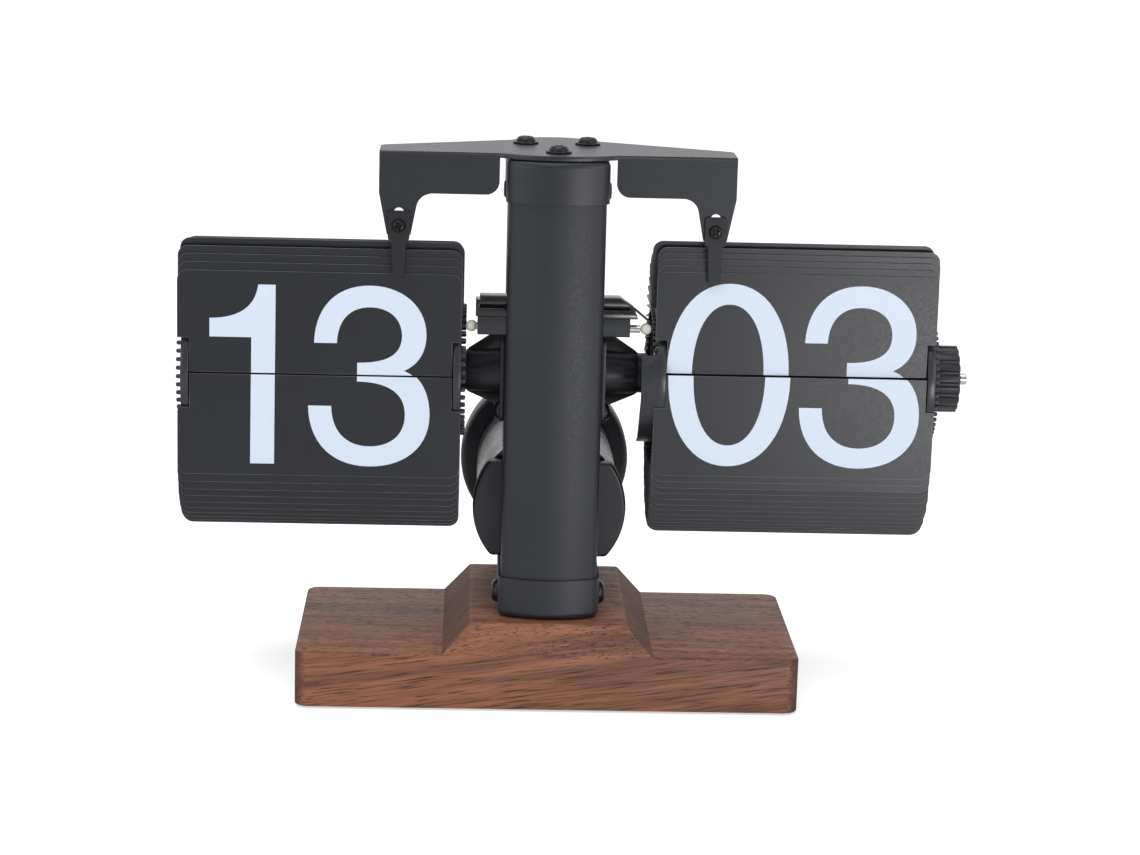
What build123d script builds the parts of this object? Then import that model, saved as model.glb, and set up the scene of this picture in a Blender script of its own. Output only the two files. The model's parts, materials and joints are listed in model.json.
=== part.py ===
from build123d import *
from math import cos, pi, radians, sin, tan

# Desk flip clock: a walnut base, an oval column, a battery barrel through the column,
# and two drums of split leaves on one axle, hours on the left and minutes on the right.
# Millimetres, +Z up, front towards -Y, origin on the table under the middle of the base.

# Walnut base
base_width = 130.0
base_depth = 65.0
base_top_z = 15.0
base_corner = 3.5
base_chamfer = 0.8
platform_top_z = 23.0
platform_foot_width = 54.4
platform_top_width = 40.6
platform_lean = 2.7

# Rubber sheet under the base
foot_thickness = 0.6
foot_inset = 3.0

# Oval column with a cap at each end
column_y = -8.7
column_width = 24.8
column_depth = 36.0
column_bow = 3.6
column_corner = 2.6
column_wall = 1.2
cap_wall = 0.6
bottom_cap_top_z = 33.6
bracket_top_z = 143.2
top_cap_height = 11.0
cap_floor = 3.0
cap_round = 1.8
seat_clearance = 0.1

# Drums and their axle
axle_y = -4.9
axle_z = 84.4
axle_radius = 1.5
axle_left_recess = 0.7
axle_right_tip = 2.9
axle_chamfer = 0.3
press_clearance = 0.02
running_clearance = 0.05
pin_circle = 16.6
wheel_radius = 18.0
wheel_rim = 3.2
wheel_web = 1.0
wheel_thickness = 2.0
ramp_width = 0.6
ramp_low = 0.4
ramp_high = 4.2
ramp_drop_angle = 35.0
ramp_root = 0.3
ramp_sections = 37
ramp_rest_sections = 12
ramp_climb_sections = 13
hub_radius = 6.0
pin_head_radius = 0.55
pin_head_length = 1.2
pin_sides = 6

# Split leaves
hour_inner_x = 23.7
minute_inner_x = 26.7
leaf_width = 71.2
leaf_height = 26.2
leaf_thickness = 0.2
leaf_corner = 2.6
leaf_notch_width = 2.2
leaf_notch_reach = 7.9
leaf_end_clearance = 0.25
leaf_pack_gap = 0.1
split_gap = 0.4
hour_leaf_count = 48
minute_leaf_count = 60
hour_split_angle = 3.8
minute_split_angle = 10.4
upright_limit = 44.5
lean_out = 13.0
lean_fade = 24.0

# Sheet metal bracket on top, with a stop finger over each drum
sheet = 1.2
bracket_half_width = 45.1
flange_front_y = -22.2
flange_inner_x = 14.8
flange_drop = 10.6
flange_corner = 3.4
foot_inset_x = 5.1
foot_width = 6.0
foot_top_width = 10.1
foot_drop = 21.2
foot_bend = 4.3
bracket_bow = 4.7
bracket_lobe_y = 15.9
bracket_lobe_half = 11.5
arm_inner_y = 8.0
arm_outer_y = -9.0
foot_slot_radius = 1.3
foot_slot_length = 3.2
bracket_front_screw_y = -19.0
bracket_back_screw_x = 8.0
bracket_back_screw_y = 0.5
finger_sheet = 0.8
finger_head_width = 6.4
finger_head_height = 7.6
finger_top_width = 4.4
finger_tip_width = 2.8
finger_screw_drop = 18.8
finger_length = 14.0

# Moulded arms that carry the axle on each side of the column
arm_plate = 1.2
arm_plate_depth = 22.0
arm_plate_bottom_z = 72.6
arm_plate_top_z = 95.9
arm_boss_radius = 5.9
arm_boss_end_x = 22.2
arm_rib = 2.0
arm_rib_tip = 0.3
arm_boss_draft = 5.0
arm_screw_rise = 2.8
arm_screw_spread = 8.0

# Carry gear between the drums: a push rod in a guide, under a bridge
rod_y = -19.2
rod_z = 98.6
rod_radius = 1.0
rod_left_x = -19.9
rod_right_x = 21.9
rod_tip_radius = 1.5
rod_tip_length = 2.8
rod_tip_round = 1.2
guide_left_x = -19.7
guide_right_x = 19.2
guide_depth = 5.0
guide_bottom_z = 96.7
guide_top_z = 101.4
bridge_top_z = 106.8
bridge_half_length = 20.2
bridge_groove = 0.9
bridge_tab = 1.0
window_clearance = 0.4

# Battery barrel, its twist cap and the cell
barrel_z = 49.4
barrel_front_y = -12.2
barrel_end_y = 53.4
barrel_radius = 18.3
barrel_bore = 17.2
barrel_front_wall = 1.6
collar_radius = 20.0
collar_half_height = 14.6
collar_length = 5.0
barrel_clearance = 0.3
battery_cap_radius = 23.0
battery_cap_front_y = 46.0
battery_cap_wall = 2.0
battery_cap_round = 2.4
coin_slot_length = 22.0
coin_slot_width = 2.6
coin_slot_depth = 1.2
cell_radius = 16.6
cell_length = 59.5
cell_nub_radius = 4.8
cell_nub_length = 2.0
contact_radius = 8.0
contact_thickness = 0.8
contact_rise = 1.2

# Setting knob
knob_radius = 8.75
knob_length = 7.35
knob_collar_radius = 7.0
knob_collar_length = 0.6
knob_flutes = 18
knob_flute_radius = 0.75

# Movement inside the column
gear_module = 0.8
drive_teeth = 26
pinion_teeth = 10
gear_thickness = 4.0
gear_backlash = 0.3
gear_addendum = 0.7
gear_dedendum = 1.1
gear_flank = 20.0
motor_shaft_radius = 1.0
movement_plate_x = -4.2
movement_plate_thickness = 1.4
movement_bottom_z = 72.0
motor_radius = 8.0
motor_length = 6.5
motor_round = 0.5
board_depth = 20.0
board_height = 16.0
board_thickness = 1.6

# Screws
screw_shank = 1.1
screw_head_radius = 2.2
screw_head_height = 1.3
screw_dome = 30.0
side_head_height = 0.6
top_cap_screw_drop = 2.9
washer_radius = 3.3
washer_thickness = 0.6
pan_head_radius = 2.5
finger_screw_radius = 1.8
base_screw_shank = 2.0
base_screw_head = 3.8
base_screw_head_height = 2.6
base_screw_sink = 6.0
base_screw_spread = 9.0
hole_clearance = 0.1


def save(builder, name):
    """Label a finished piece and write it as its own STEP file."""
    builder.part.label = name
    export_step(builder.part, f"parts/{name}.step")


def column_section(height, grow):
    """Oval section of the column at a height, straight sides with bowed front and back."""
    half_width = column_width / 2 + grow
    half_depth = column_depth / 2 + grow
    shoulder = half_depth - column_bow
    front_y = column_y - shoulder
    back_y = column_y + shoulder
    with BuildSketch(Plane.XY.offset(height)) as section:
        with BuildLine():
            Line((half_width, front_y), (half_width, back_y))
            ThreePointArc(
                (half_width, back_y), (0, column_y + half_depth), (-half_width, back_y)
            )
            Line((-half_width, back_y), (-half_width, front_y))
            ThreePointArc(
                (-half_width, front_y), (0, column_y - half_depth), (half_width, front_y)
            )
        make_face()
        fillet(section.vertices(), column_corner + grow)
    return section.sketch


def drum_plane(x):
    """Plane across the axle at a distance along X, with its own x along Y and y along Z."""
    return Plane(origin=(x, axle_y, axle_z), x_dir=(0, 1, 0), z_dir=(1, 0, 0))


def barrel_plane(y):
    """Plane across the barrel at a distance along Y, facing backwards."""
    return Plane(origin=(0, y, barrel_z), x_dir=(-1, 0, 0), z_dir=(0, 1, 0))


# Derived places
cap_grow = cap_wall + seat_clearance
cap_half_width = column_width / 2 + cap_grow
plate_bottom_z = bracket_top_z - sheet
top_cap_bottom_z = plate_bottom_z - top_cap_height
column_bottom_z = platform_top_z + cap_floor + seat_clearance
column_top_z = plate_bottom_z - cap_floor - seat_clearance
foot_x = bracket_half_width - foot_inset_x
foot_bottom_z = bracket_top_z - foot_drop
finger_screw_z = bracket_top_z - finger_screw_drop
finger_tip_z = finger_screw_z - finger_length
wheel_inset = leaf_notch_width - leaf_end_clearance
hour_inner_face_x = -hour_inner_x - wheel_inset
hour_outer_face_x = -hour_inner_x - leaf_width + wheel_inset
minute_inner_face_x = minute_inner_x + wheel_inset
minute_outer_face_x = minute_inner_x + leaf_width - wheel_inset

# Base: block with rounded corners and a raised platform that leans in on all four sides
with BuildPart() as base:
    with BuildSketch(Plane.XY.offset(foot_thickness)):
        RectangleRounded(base_width, base_depth, base_corner)
    extrude(amount=base_top_z - foot_thickness)
    chamfer(faces().sort_by(Axis.Z)[0].edges(), base_chamfer)
    with BuildSketch(Plane.XY.offset(base_top_z)):
        Rectangle(platform_foot_width, base_depth)
    with BuildSketch(Plane.XY.offset(platform_top_z)):
        Rectangle(platform_top_width, base_depth - 2 * platform_lean)
    loft()
    with Locations(Plane.XY.offset(foot_thickness)):
        with Locations((0, column_y - base_screw_spread), (0, column_y + base_screw_spread)):
            Cylinder(
                base_screw_shank + hole_clearance,
                platform_top_z,
                align=(Align.CENTER, Align.CENTER, Align.MIN),
                mode=Mode.SUBTRACT,
            )
            Cylinder(
                base_screw_head + hole_clearance,
                base_screw_sink,
                align=(Align.CENTER, Align.CENTER, Align.MIN),
                mode=Mode.SUBTRACT,
            )
save(base, "base")

# Rubber sheet that covers the underside and the screw holes
with BuildPart() as foot_sheet:
    with BuildSketch():
        RectangleRounded(
            base_width - 2 * foot_inset, base_depth - 2 * foot_inset, base_corner
        )
    extrude(amount=foot_thickness)
save(foot_sheet, "foot_sheet")

# Two screws from below that hold the column's bottom cap
screw_seat_z = foot_thickness + base_screw_sink
base_screw_end_z = bottom_cap_top_z - cap_floor
with BuildPart() as base_screws:
    with BuildSketch(Plane.XY.offset(screw_seat_z - base_screw_head_height)):
        with Locations((0, column_y - base_screw_spread), (0, column_y + base_screw_spread)):
            Circle(base_screw_head)
    extrude(amount=base_screw_head_height)
    with BuildSketch(Plane.XY.offset(screw_seat_z)):
        with Locations((0, column_y - base_screw_spread), (0, column_y + base_screw_spread)):
            Circle(base_screw_shank)
    extrude(amount=base_screw_end_z - screw_seat_z)
save(base_screws, "base_screws")


# Room that the barrel and its collar take through the column, with a clearance all round
with BuildPart() as barrel_room:
    with BuildSketch(barrel_plane(barrel_front_y - barrel_clearance)):
        Circle(collar_radius + barrel_clearance)
        Rectangle(
            3 * collar_radius, 2 * (collar_half_height + barrel_clearance), mode=Mode.INTERSECT
        )
    extrude(amount=collar_length + 2 * barrel_clearance)
    with BuildSketch(barrel_plane(barrel_front_y + collar_length - barrel_clearance)):
        Circle(barrel_radius + barrel_clearance)
    extrude(amount=barrel_end_y - barrel_front_y)

bottom_cap_height = bottom_cap_top_z - platform_top_z

# Bottom cap: a rounded cup that takes the column in a groove, cut away under the barrel
with BuildPart() as bottom_cap:
    extrude(column_section(platform_top_z, cap_grow), amount=bottom_cap_height)
    fillet(faces().sort_by(Axis.Z)[0].edges(), cap_round)
    extrude(
        column_section(platform_top_z + cap_floor, seat_clearance),
        amount=bottom_cap_height,
        mode=Mode.SUBTRACT,
    )
    extrude(
        column_section(platform_top_z + cap_floor, -column_wall - seat_clearance),
        amount=bottom_cap_height - cap_floor,
    )
    with Locations((0, column_y - base_screw_spread), (0, column_y + base_screw_spread)):
        with Locations((0, 0, platform_top_z)):
            Cylinder(
                base_screw_shank + hole_clearance,
                base_screw_end_z - platform_top_z + seat_clearance,
                align=(Align.CENTER, Align.CENTER, Align.MIN),
                mode=Mode.SUBTRACT,
            )
    add(barrel_room.part, mode=Mode.SUBTRACT)
    cap_screw_z = (platform_top_z + bottom_cap_top_z) / 2 + seat_clearance
    with BuildSketch(Plane.YZ.offset(-cap_half_width)):
        with Locations((column_y - base_screw_spread, cap_screw_z)):
            Circle(screw_shank + hole_clearance)
    extrude(amount=2 * cap_half_width, mode=Mode.SUBTRACT)
save(bottom_cap, "bottom_cap")

# Top cap: the same cup upside down, with three screw holes for the bracket
bracket_screw_places = (
    (0, bracket_front_screw_y),
    (-bracket_back_screw_x, bracket_back_screw_y),
    (bracket_back_screw_x, bracket_back_screw_y),
)
top_cap_screw_z = (top_cap_bottom_z + plate_bottom_z) / 2 + seat_clearance - top_cap_screw_drop
with BuildPart() as top_cap:
    extrude(column_section(top_cap_bottom_z, cap_grow), amount=top_cap_height)
    fillet(faces().sort_by(Axis.Z)[-1].edges(), cap_round)
    extrude(
        column_section(top_cap_bottom_z, seat_clearance),
        amount=top_cap_height - cap_floor,
        mode=Mode.SUBTRACT,
    )
    extrude(
        column_section(top_cap_bottom_z, -column_wall - seat_clearance),
        amount=top_cap_height - cap_floor,
    )
    with Locations(*[(x, y, plate_bottom_z) for x, y in bracket_screw_places]):
        Cylinder(
            screw_shank + hole_clearance,
            cap_floor + sheet,
            align=(Align.CENTER, Align.CENTER, Align.MAX),
            mode=Mode.SUBTRACT,
        )
    with BuildSketch(Plane.YZ.offset(-cap_half_width)):
        with Locations((column_y - base_screw_spread, top_cap_screw_z)):
            Circle(screw_shank + hole_clearance)
    extrude(amount=2 * cap_half_width, mode=Mode.SUBTRACT)
save(top_cap, "top_cap")

# Column: oval tube, open for the barrel, the axle, the carry gear and the side screws
column_height = column_top_z - column_bottom_z
arm_screw_z = arm_plate_bottom_z + arm_screw_rise
arm_screw_places = (
    (axle_y - arm_screw_spread, arm_screw_z),
    (axle_y + arm_screw_spread, arm_screw_z),
)
with BuildPart() as column_shell:
    extrude(column_section(column_bottom_z, 0), amount=column_height)
    extrude(
        column_section(column_bottom_z, -column_wall),
        amount=column_height,
        mode=Mode.SUBTRACT,
    )
    add(barrel_room.part, mode=Mode.SUBTRACT)
    with BuildSketch(Plane.YZ.offset(-column_width)):
        with Locations((axle_y, axle_z)):
            Circle(arm_boss_radius)
        with Locations((rod_y, (guide_bottom_z + bridge_top_z) / 2)):
            Rectangle(
                guide_depth + 2 * window_clearance,
                bridge_top_z - guide_bottom_z + 2 * window_clearance,
            )
        with Locations(*arm_screw_places):
            Circle(screw_shank + hole_clearance)
        with Locations(
            (column_y - base_screw_spread, cap_screw_z),
            (column_y - base_screw_spread, top_cap_screw_z),
        ):
            Circle(screw_shank + hole_clearance)
    extrude(amount=2 * column_width, mode=Mode.SUBTRACT)
save(column_shell, "column_shell")


def side_screws(places, seat_x, depth):
    """Domed screws on both sides, heads on the seat and shanks pointing inwards."""
    with BuildPart() as screws:
        for side in (-1, 1):
            facing = Plane(
                origin=(side * seat_x, 0, 0), x_dir=(0, side, 0), z_dir=(side, 0, 0)
            )
            spots = [(side * y, z) for y, z in places]
            with BuildSketch(facing):
                with Locations(*spots):
                    Circle(screw_head_radius)
            extrude(amount=side_head_height, taper=screw_dome)
            with BuildSketch(facing):
                with Locations(*spots):
                    Circle(screw_shank)
            extrude(amount=-depth)
    return screws


# Side screws through both caps into the column
cap_screw_places = (
    (column_y - base_screw_spread, cap_screw_z),
    (column_y - base_screw_spread, top_cap_screw_z),
)
cap_screws = side_screws(cap_screw_places, cap_half_width, cap_grow + column_wall + cap_floor)
save(cap_screws, "cap_screws")

# Bracket: one bent sheet, a bowed plate with a hanging flange and foot at each side
flange_bottom_z = bracket_top_z - flange_drop
foot_round = foot_width / 2 - hole_clearance
with BuildPart() as top_bracket:
    with BuildSketch(Plane.XY.offset(plate_bottom_z)):
        with BuildLine():
            Polyline(
                (flange_inner_x, flange_front_y),
                (bracket_half_width, flange_front_y),
                (bracket_half_width, arm_outer_y),
                (bracket_lobe_half, arm_inner_y),
            )
            ThreePointArc(
                (bracket_lobe_half, arm_inner_y),
                (0, bracket_lobe_y),
                (-bracket_lobe_half, arm_inner_y),
            )
            Polyline(
                (-bracket_lobe_half, arm_inner_y),
                (-bracket_half_width, arm_outer_y),
                (-bracket_half_width, flange_front_y),
                (-flange_inner_x, flange_front_y),
            )
            ThreePointArc(
                (-flange_inner_x, flange_front_y),
                (0, flange_front_y - bracket_bow),
                (flange_inner_x, flange_front_y),
            )
        make_face()
        with Locations(*bracket_screw_places):
            Circle(screw_shank + hole_clearance, mode=Mode.SUBTRACT)
    extrude(amount=sheet)
    corner_edges = edges().filter_by(Axis.Z).filter_by_position(
        Axis.Y, arm_outer_y - sheet, arm_outer_y + sheet
    )
    fillet(corner_edges, foot_round)
    for side in (-1, 1):
        facing = Plane(
            origin=(0, flange_front_y, 0), x_dir=(side, 0, 0), z_dir=(0, -side, 0)
        )
        with BuildSketch(facing):
            with BuildLine():
                Polyline(
                    (flange_inner_x, plate_bottom_z),
                    (bracket_half_width, plate_bottom_z),
                    (bracket_half_width, flange_bottom_z),
                    (foot_x + foot_width / 2, foot_bottom_z),
                    (foot_x - foot_width / 2, foot_bottom_z),
                    (bracket_half_width - foot_top_width, flange_bottom_z),
                    (flange_inner_x, flange_bottom_z),
                    close=True,
                )
            make_face()
            inner_corner = vertices().group_by(Axis.Y)[1].sort_by(Axis.X)[0]
            inside_bend = vertices().group_by(Axis.Y)[1].sort_by(Axis.X)[1]
            foot_corners = vertices().group_by(Axis.Y)[0]
            fillet(inner_corner, flange_corner)
            fillet(inside_bend, foot_bend)
            fillet(foot_corners, foot_width / 3)
            with Locations((foot_x, finger_screw_z + foot_slot_length / 2)):
                SlotOverall(
                    foot_slot_length + 2 * foot_slot_radius,
                    2 * foot_slot_radius,
                    rotation=90,
                    mode=Mode.SUBTRACT,
                )
        extrude(amount=-side * sheet)
save(top_bracket, "top_bracket")


def pan_screws(places, seat, head_radius, depth):
    """Pan head screws, heads above the seat plane and shanks below it."""
    with BuildPart() as screws:
        with BuildSketch(seat):
            with Locations(*places):
                Circle(head_radius)
        extrude(amount=screw_head_height, taper=screw_dome)
        with BuildSketch(seat):
            with Locations(*places):
                Circle(screw_shank)
        extrude(amount=-depth)
    return screws


# Three screws that hold the bracket on the top cap
bracket_seat = Plane.XY.offset(bracket_top_z + washer_thickness)
bracket_screw_depth = washer_thickness + sheet + cap_floor / 2
bracket_screws = pan_screws(
    bracket_screw_places, bracket_seat, pan_head_radius, bracket_screw_depth
)
save(bracket_screws, "bracket_screws")

with BuildPart() as bracket_washers:
    with BuildSketch(Plane.XY.offset(bracket_top_z)):
        with Locations(*bracket_screw_places):
            Circle(washer_radius)
            Circle(screw_shank + hole_clearance, mode=Mode.SUBTRACT)
    extrude(amount=washer_thickness)
save(bracket_washers, "bracket_washers")

# Stop fingers: a square head under its screw and a tapering tongue over the front leaf
finger_head_bottom_z = finger_screw_z - finger_head_height / 2
with BuildPart() as right_finger:
    with BuildSketch(Plane.XZ.offset(-flange_front_y)):
        with Locations((foot_x, finger_screw_z)):
            RectangleRounded(finger_head_width, finger_head_height, finger_sheet)
        with BuildLine():
            Polyline(
                (foot_x + finger_top_width / 2, finger_screw_z),
                (foot_x + finger_top_width / 2, finger_head_bottom_z),
                (foot_x + finger_tip_width / 2, finger_tip_z),
                (foot_x - finger_tip_width / 2, finger_tip_z),
                (foot_x - finger_top_width / 2, finger_head_bottom_z),
                (foot_x - finger_top_width / 2, finger_screw_z),
                close=True,
            )
        make_face()
        fillet(vertices().group_by(Axis.Y)[0], finger_tip_width / 3)
        with Locations((foot_x, finger_screw_z)):
            Circle(screw_shank + hole_clearance, mode=Mode.SUBTRACT)
    extrude(amount=finger_sheet)
save(right_finger, "right_finger")

with BuildPart() as left_finger:
    mirror(right_finger.part, about=Plane.YZ)
save(left_finger, "left_finger")

finger_seat = Plane.XZ.offset(finger_sheet - flange_front_y)
finger_screw_places = ((-foot_x, finger_screw_z), (foot_x, finger_screw_z))
finger_screws = pan_screws(
    finger_screw_places, finger_seat, finger_screw_radius, finger_sheet + 2 * sheet
)
save(finger_screws, "finger_screws")

# Arms: a plate on the column's side, a boss that carries the axle, a rib above and below
arm_seat_x = column_width / 2
arm_face_x = arm_seat_x + arm_plate
with BuildPart() as right_arm:
    with BuildSketch(Plane.YZ.offset(arm_seat_x)):
        with Locations((axle_y, (arm_plate_bottom_z + arm_plate_top_z) / 2)):
            RectangleRounded(
                arm_plate_depth, arm_plate_top_z - arm_plate_bottom_z, column_corner
            )
    extrude(amount=arm_plate)
    with BuildSketch(Plane.YZ.offset(arm_face_x)):
        with Locations((axle_y, axle_z)):
            Circle(arm_boss_radius + arm_rib_tip)
    extrude(amount=arm_boss_end_x - arm_face_x, taper=arm_boss_draft)
    with BuildSketch(Plane.XZ.offset(-axle_y)):
        with BuildLine():
            Polyline(
                (arm_face_x, arm_plate_bottom_z + column_corner),
                (arm_boss_end_x - arm_rib_tip, axle_z - arm_boss_radius + arm_rib_tip),
                (arm_boss_end_x - arm_rib_tip, axle_z + arm_boss_radius - arm_rib_tip),
                (arm_face_x, arm_plate_top_z - arm_rib_tip),
                close=True,
            )
        make_face()
    extrude(amount=arm_rib / 2, both=True)
    with BuildSketch(Plane.YZ.offset(arm_seat_x)):
        with Locations((axle_y, axle_z)):
            Circle(axle_radius + running_clearance)
        with Locations(*arm_screw_places):
            Circle(screw_shank + hole_clearance)
    extrude(amount=arm_boss_end_x, mode=Mode.SUBTRACT)
save(right_arm, "right_arm")

with BuildPart() as left_arm:
    mirror(right_arm.part, about=Plane.YZ)
save(left_arm, "left_arm")

arm_screws = side_screws(arm_screw_places, arm_face_x, arm_plate + column_wall + sheet)
save(arm_screws, "arm_screws")

# Carry gear: guide block through the column, bridge on top of it
guide_height = guide_top_z - guide_bottom_z
with BuildPart() as carry_guide:
    with BuildSketch(Plane.YZ.offset(guide_left_x)):
        with Locations((rod_y, guide_bottom_z + guide_height / 2)):
            RectangleRounded(guide_depth, guide_height, bridge_groove / 2)
        with Locations((rod_y, rod_z)):
            Circle(rod_radius + running_clearance, mode=Mode.SUBTRACT)
    extrude(amount=guide_right_x - guide_left_x)
save(carry_guide, "carry_guide")

bridge_height = bridge_top_z - guide_top_z
with BuildPart() as carry_bridge:
    with BuildSketch(Plane.XZ.offset(guide_depth / 2 - rod_y)):
        with BuildLine():
            Polyline(
                (-bridge_half_length, guide_top_z),
                (-bridge_half_length, bridge_top_z - bridge_tab),
                (-bridge_half_length + bridge_tab, bridge_top_z - bridge_tab),
                (-bridge_half_length + bridge_tab, bridge_top_z),
                (guide_right_x - bridge_height / 2, bridge_top_z),
                (bridge_half_length, bridge_top_z - bridge_height / 2),
                (bridge_half_length + bridge_tab, guide_top_z),
                close=True,
            )
        make_face()
    extrude(amount=-guide_depth)
    with BuildSketch(Plane.YZ.offset(-bridge_half_length + bridge_tab)):
        with Locations((rod_y - guide_depth / 2, guide_top_z + bridge_height / 2)):
            Rectangle(2 * bridge_groove, bridge_groove)
    extrude(amount=2 * bridge_half_length, mode=Mode.SUBTRACT)
save(carry_bridge, "carry_bridge")

# Push rod with a ball ended tip at each drum
with BuildPart() as carry_rod:
    with BuildSketch(Plane.YZ.offset(rod_left_x)):
        with Locations((rod_y, rod_z)):
            Circle(rod_radius)
    extrude(amount=rod_right_x - rod_left_x)
save(carry_rod, "carry_rod")

with BuildPart() as carry_tips:
    for end_x, side in ((rod_left_x, -1), (rod_right_x, 1)):
        facing = Plane(origin=(end_x, rod_y, rod_z), x_dir=(0, side, 0), z_dir=(side, 0, 0))
        with BuildSketch(facing):
            Circle(rod_tip_radius)
        extrude(amount=rod_tip_length)
    fillet(edges().filter_by(GeomType.CIRCLE).sort_by(Axis.X)[0], rod_tip_round)
    fillet(edges().filter_by(GeomType.CIRCLE).sort_by(Axis.X)[-1], rod_tip_round)
save(carry_tips, "carry_tips")

# Battery barrel: a flat sided collar astride the column and a round tube behind it
collar_end_y = barrel_front_y + collar_length
with BuildPart() as battery_barrel:
    with BuildSketch(barrel_plane(barrel_front_y)):
        Circle(collar_radius)
        Rectangle(3 * collar_radius, 2 * collar_half_height, mode=Mode.INTERSECT)
    extrude(amount=collar_length)
    with BuildSketch(barrel_plane(collar_end_y)):
        Circle(barrel_radius)
    extrude(amount=barrel_end_y - collar_end_y)
    with BuildSketch(barrel_plane(barrel_front_y + barrel_front_wall)):
        Circle(contact_radius + seat_clearance)
    extrude(amount=collar_length, mode=Mode.SUBTRACT)
    with BuildSketch(barrel_plane(collar_end_y)):
        Circle(barrel_bore)
    extrude(amount=barrel_end_y - collar_end_y, mode=Mode.SUBTRACT)
save(battery_barrel, "battery_barrel")

# Battery cell, its front contact and the contact in the cap
cell_front_y = collar_end_y + seat_clearance
cell_back_y = cell_front_y + cell_length
with BuildPart() as battery_cell:
    with BuildSketch(barrel_plane(cell_front_y)):
        Circle(cell_radius)
    extrude(amount=cell_length)
    fillet(edges().filter_by(GeomType.CIRCLE), contact_rise)
    with BuildSketch(barrel_plane(cell_front_y)):
        Circle(cell_nub_radius)
    extrude(amount=-cell_nub_length)
save(battery_cell, "battery_cell")

contact_front_y = barrel_front_y + barrel_front_wall
contact_reach = cell_front_y - cell_nub_length - contact_front_y
with BuildPart() as front_contact:
    with BuildSketch(barrel_plane(contact_front_y)):
        Circle(contact_radius)
    extrude(amount=contact_reach)
save(front_contact, "front_contact")

# Twist cap over the end of the barrel, with a slot for a coin
cap_end_y = barrel_end_y + contact_thickness + battery_cap_wall
cap_wall_y = cap_end_y - battery_cap_wall
with BuildPart() as battery_cap:
    with BuildSketch(barrel_plane(battery_cap_front_y)):
        Circle(battery_cap_radius)
    extrude(amount=cap_end_y - battery_cap_front_y)
    fillet(faces().sort_by(Axis.Y)[-1].edges(), battery_cap_round)
    with BuildSketch(barrel_plane(battery_cap_front_y)):
        Circle(barrel_radius + barrel_clearance)
    extrude(amount=cap_wall_y - battery_cap_front_y, mode=Mode.SUBTRACT)
    with BuildSketch(barrel_plane(cap_end_y)):
        SlotOverall(coin_slot_length, coin_slot_width)
    extrude(amount=-coin_slot_depth, mode=Mode.SUBTRACT)
save(battery_cap, "battery_cap")

with BuildPart() as cap_contact:
    with BuildSketch(barrel_plane(cell_back_y)):
        Circle(contact_radius)
    extrude(amount=cap_wall_y - cell_back_y)
save(cap_contact, "cap_contact")

# Axle: one steel rod from the hour drum through the column to the setting knob
knob_seat_x = minute_outer_face_x + wheel_thickness
knob_face_x = knob_seat_x + knob_collar_length
axle_left_x = hour_outer_face_x - wheel_thickness + axle_left_recess
axle_right_x = knob_face_x + knob_length + axle_right_tip
with BuildPart() as axle:
    with BuildSketch(drum_plane(axle_left_x)):
        Circle(axle_radius)
    extrude(amount=axle_right_x - axle_left_x)
    chamfer(edges().filter_by(GeomType.CIRCLE), axle_chamfer)
save(axle, "axle")


def wheel(face_x, side, thickness, pin_count, first_pin, bore):
    """Drum wheel: rim, thin web and boss, with the heads of the leaf pins on its outer face."""
    inside = Plane(
        origin=(face_x, axle_y, axle_z), x_dir=(0, side, 0), z_dir=(side, 0, 0)
    )
    with BuildPart() as disc:
        with BuildSketch(inside):
            Circle(wheel_radius)
            Circle(bore, mode=Mode.SUBTRACT)
        extrude(amount=thickness)
        with BuildSketch(inside.offset(wheel_web)):
            Circle(wheel_radius - wheel_rim)
            Circle(hub_radius, mode=Mode.SUBTRACT)
        extrude(amount=thickness, mode=Mode.SUBTRACT)
        with BuildSketch(inside.offset(thickness)):
            with PolarLocations(pin_circle, pin_count, 90 + side * (90 - first_pin)):
                RegularPolygon(pin_head_radius, pin_sides)
        extrude(amount=pin_head_length)
    return disc


hour_pitch = 360 / hour_leaf_count
minute_pitch = 360 / minute_leaf_count
hour_first = hour_split_angle + hour_pitch / 2
minute_first = minute_split_angle + minute_pitch / 2
fixed_bore = axle_radius + press_clearance
running_bore = axle_radius + running_clearance

hour_inner_wheel = wheel(
    hour_inner_face_x, 1, wheel_thickness, hour_leaf_count, hour_first, running_bore
)
save(hour_inner_wheel, "hour_inner_wheel")

hour_outer_wheel = wheel(
    hour_outer_face_x, -1, wheel_thickness, hour_leaf_count, hour_first, running_bore
)
save(hour_outer_wheel, "hour_outer_wheel")

minute_outer_wheel = wheel(
    minute_outer_face_x, 1, wheel_thickness, minute_leaf_count, minute_first, fixed_bore
)
save(minute_outer_wheel, "minute_outer_wheel")

# The minute drum's inner wheel also carries the ramp that works the hourly carry: it runs low
# over the top, climbs behind, and stands full height below its drop at the front
minute_plain_wheel = wheel(
    minute_inner_face_x, -1, wheel_thickness, minute_leaf_count, minute_first, fixed_bore
)
ramp_seat_x = minute_inner_face_x - wheel_thickness
ramp_turn = 360 / ramp_sections
ramp_climb = (ramp_high - ramp_low) / ramp_climb_sections
ramp_middle = wheel_radius - ramp_width / 2
with BuildPart() as carry_ramp:
    for index in range(ramp_sections):
        angle = radians(ramp_drop_angle + index * ramp_turn)
        outward = (0, -cos(angle), sin(angle))
        climbed = min(max(index - ramp_rest_sections, 0), ramp_climb_sections)
        tall = ramp_low + climbed * ramp_climb + ramp_root
        at = Plane(
            origin=(
                ramp_seat_x + ramp_root - tall / 2,
                axle_y - ramp_middle * cos(angle),
                axle_z + ramp_middle * sin(angle),
            ),
            x_dir=outward,
            z_dir=(0, sin(angle), cos(angle)),
        )
        with BuildSketch(at):
            Rectangle(ramp_width, tall)
    loft(ruled=True)
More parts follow.
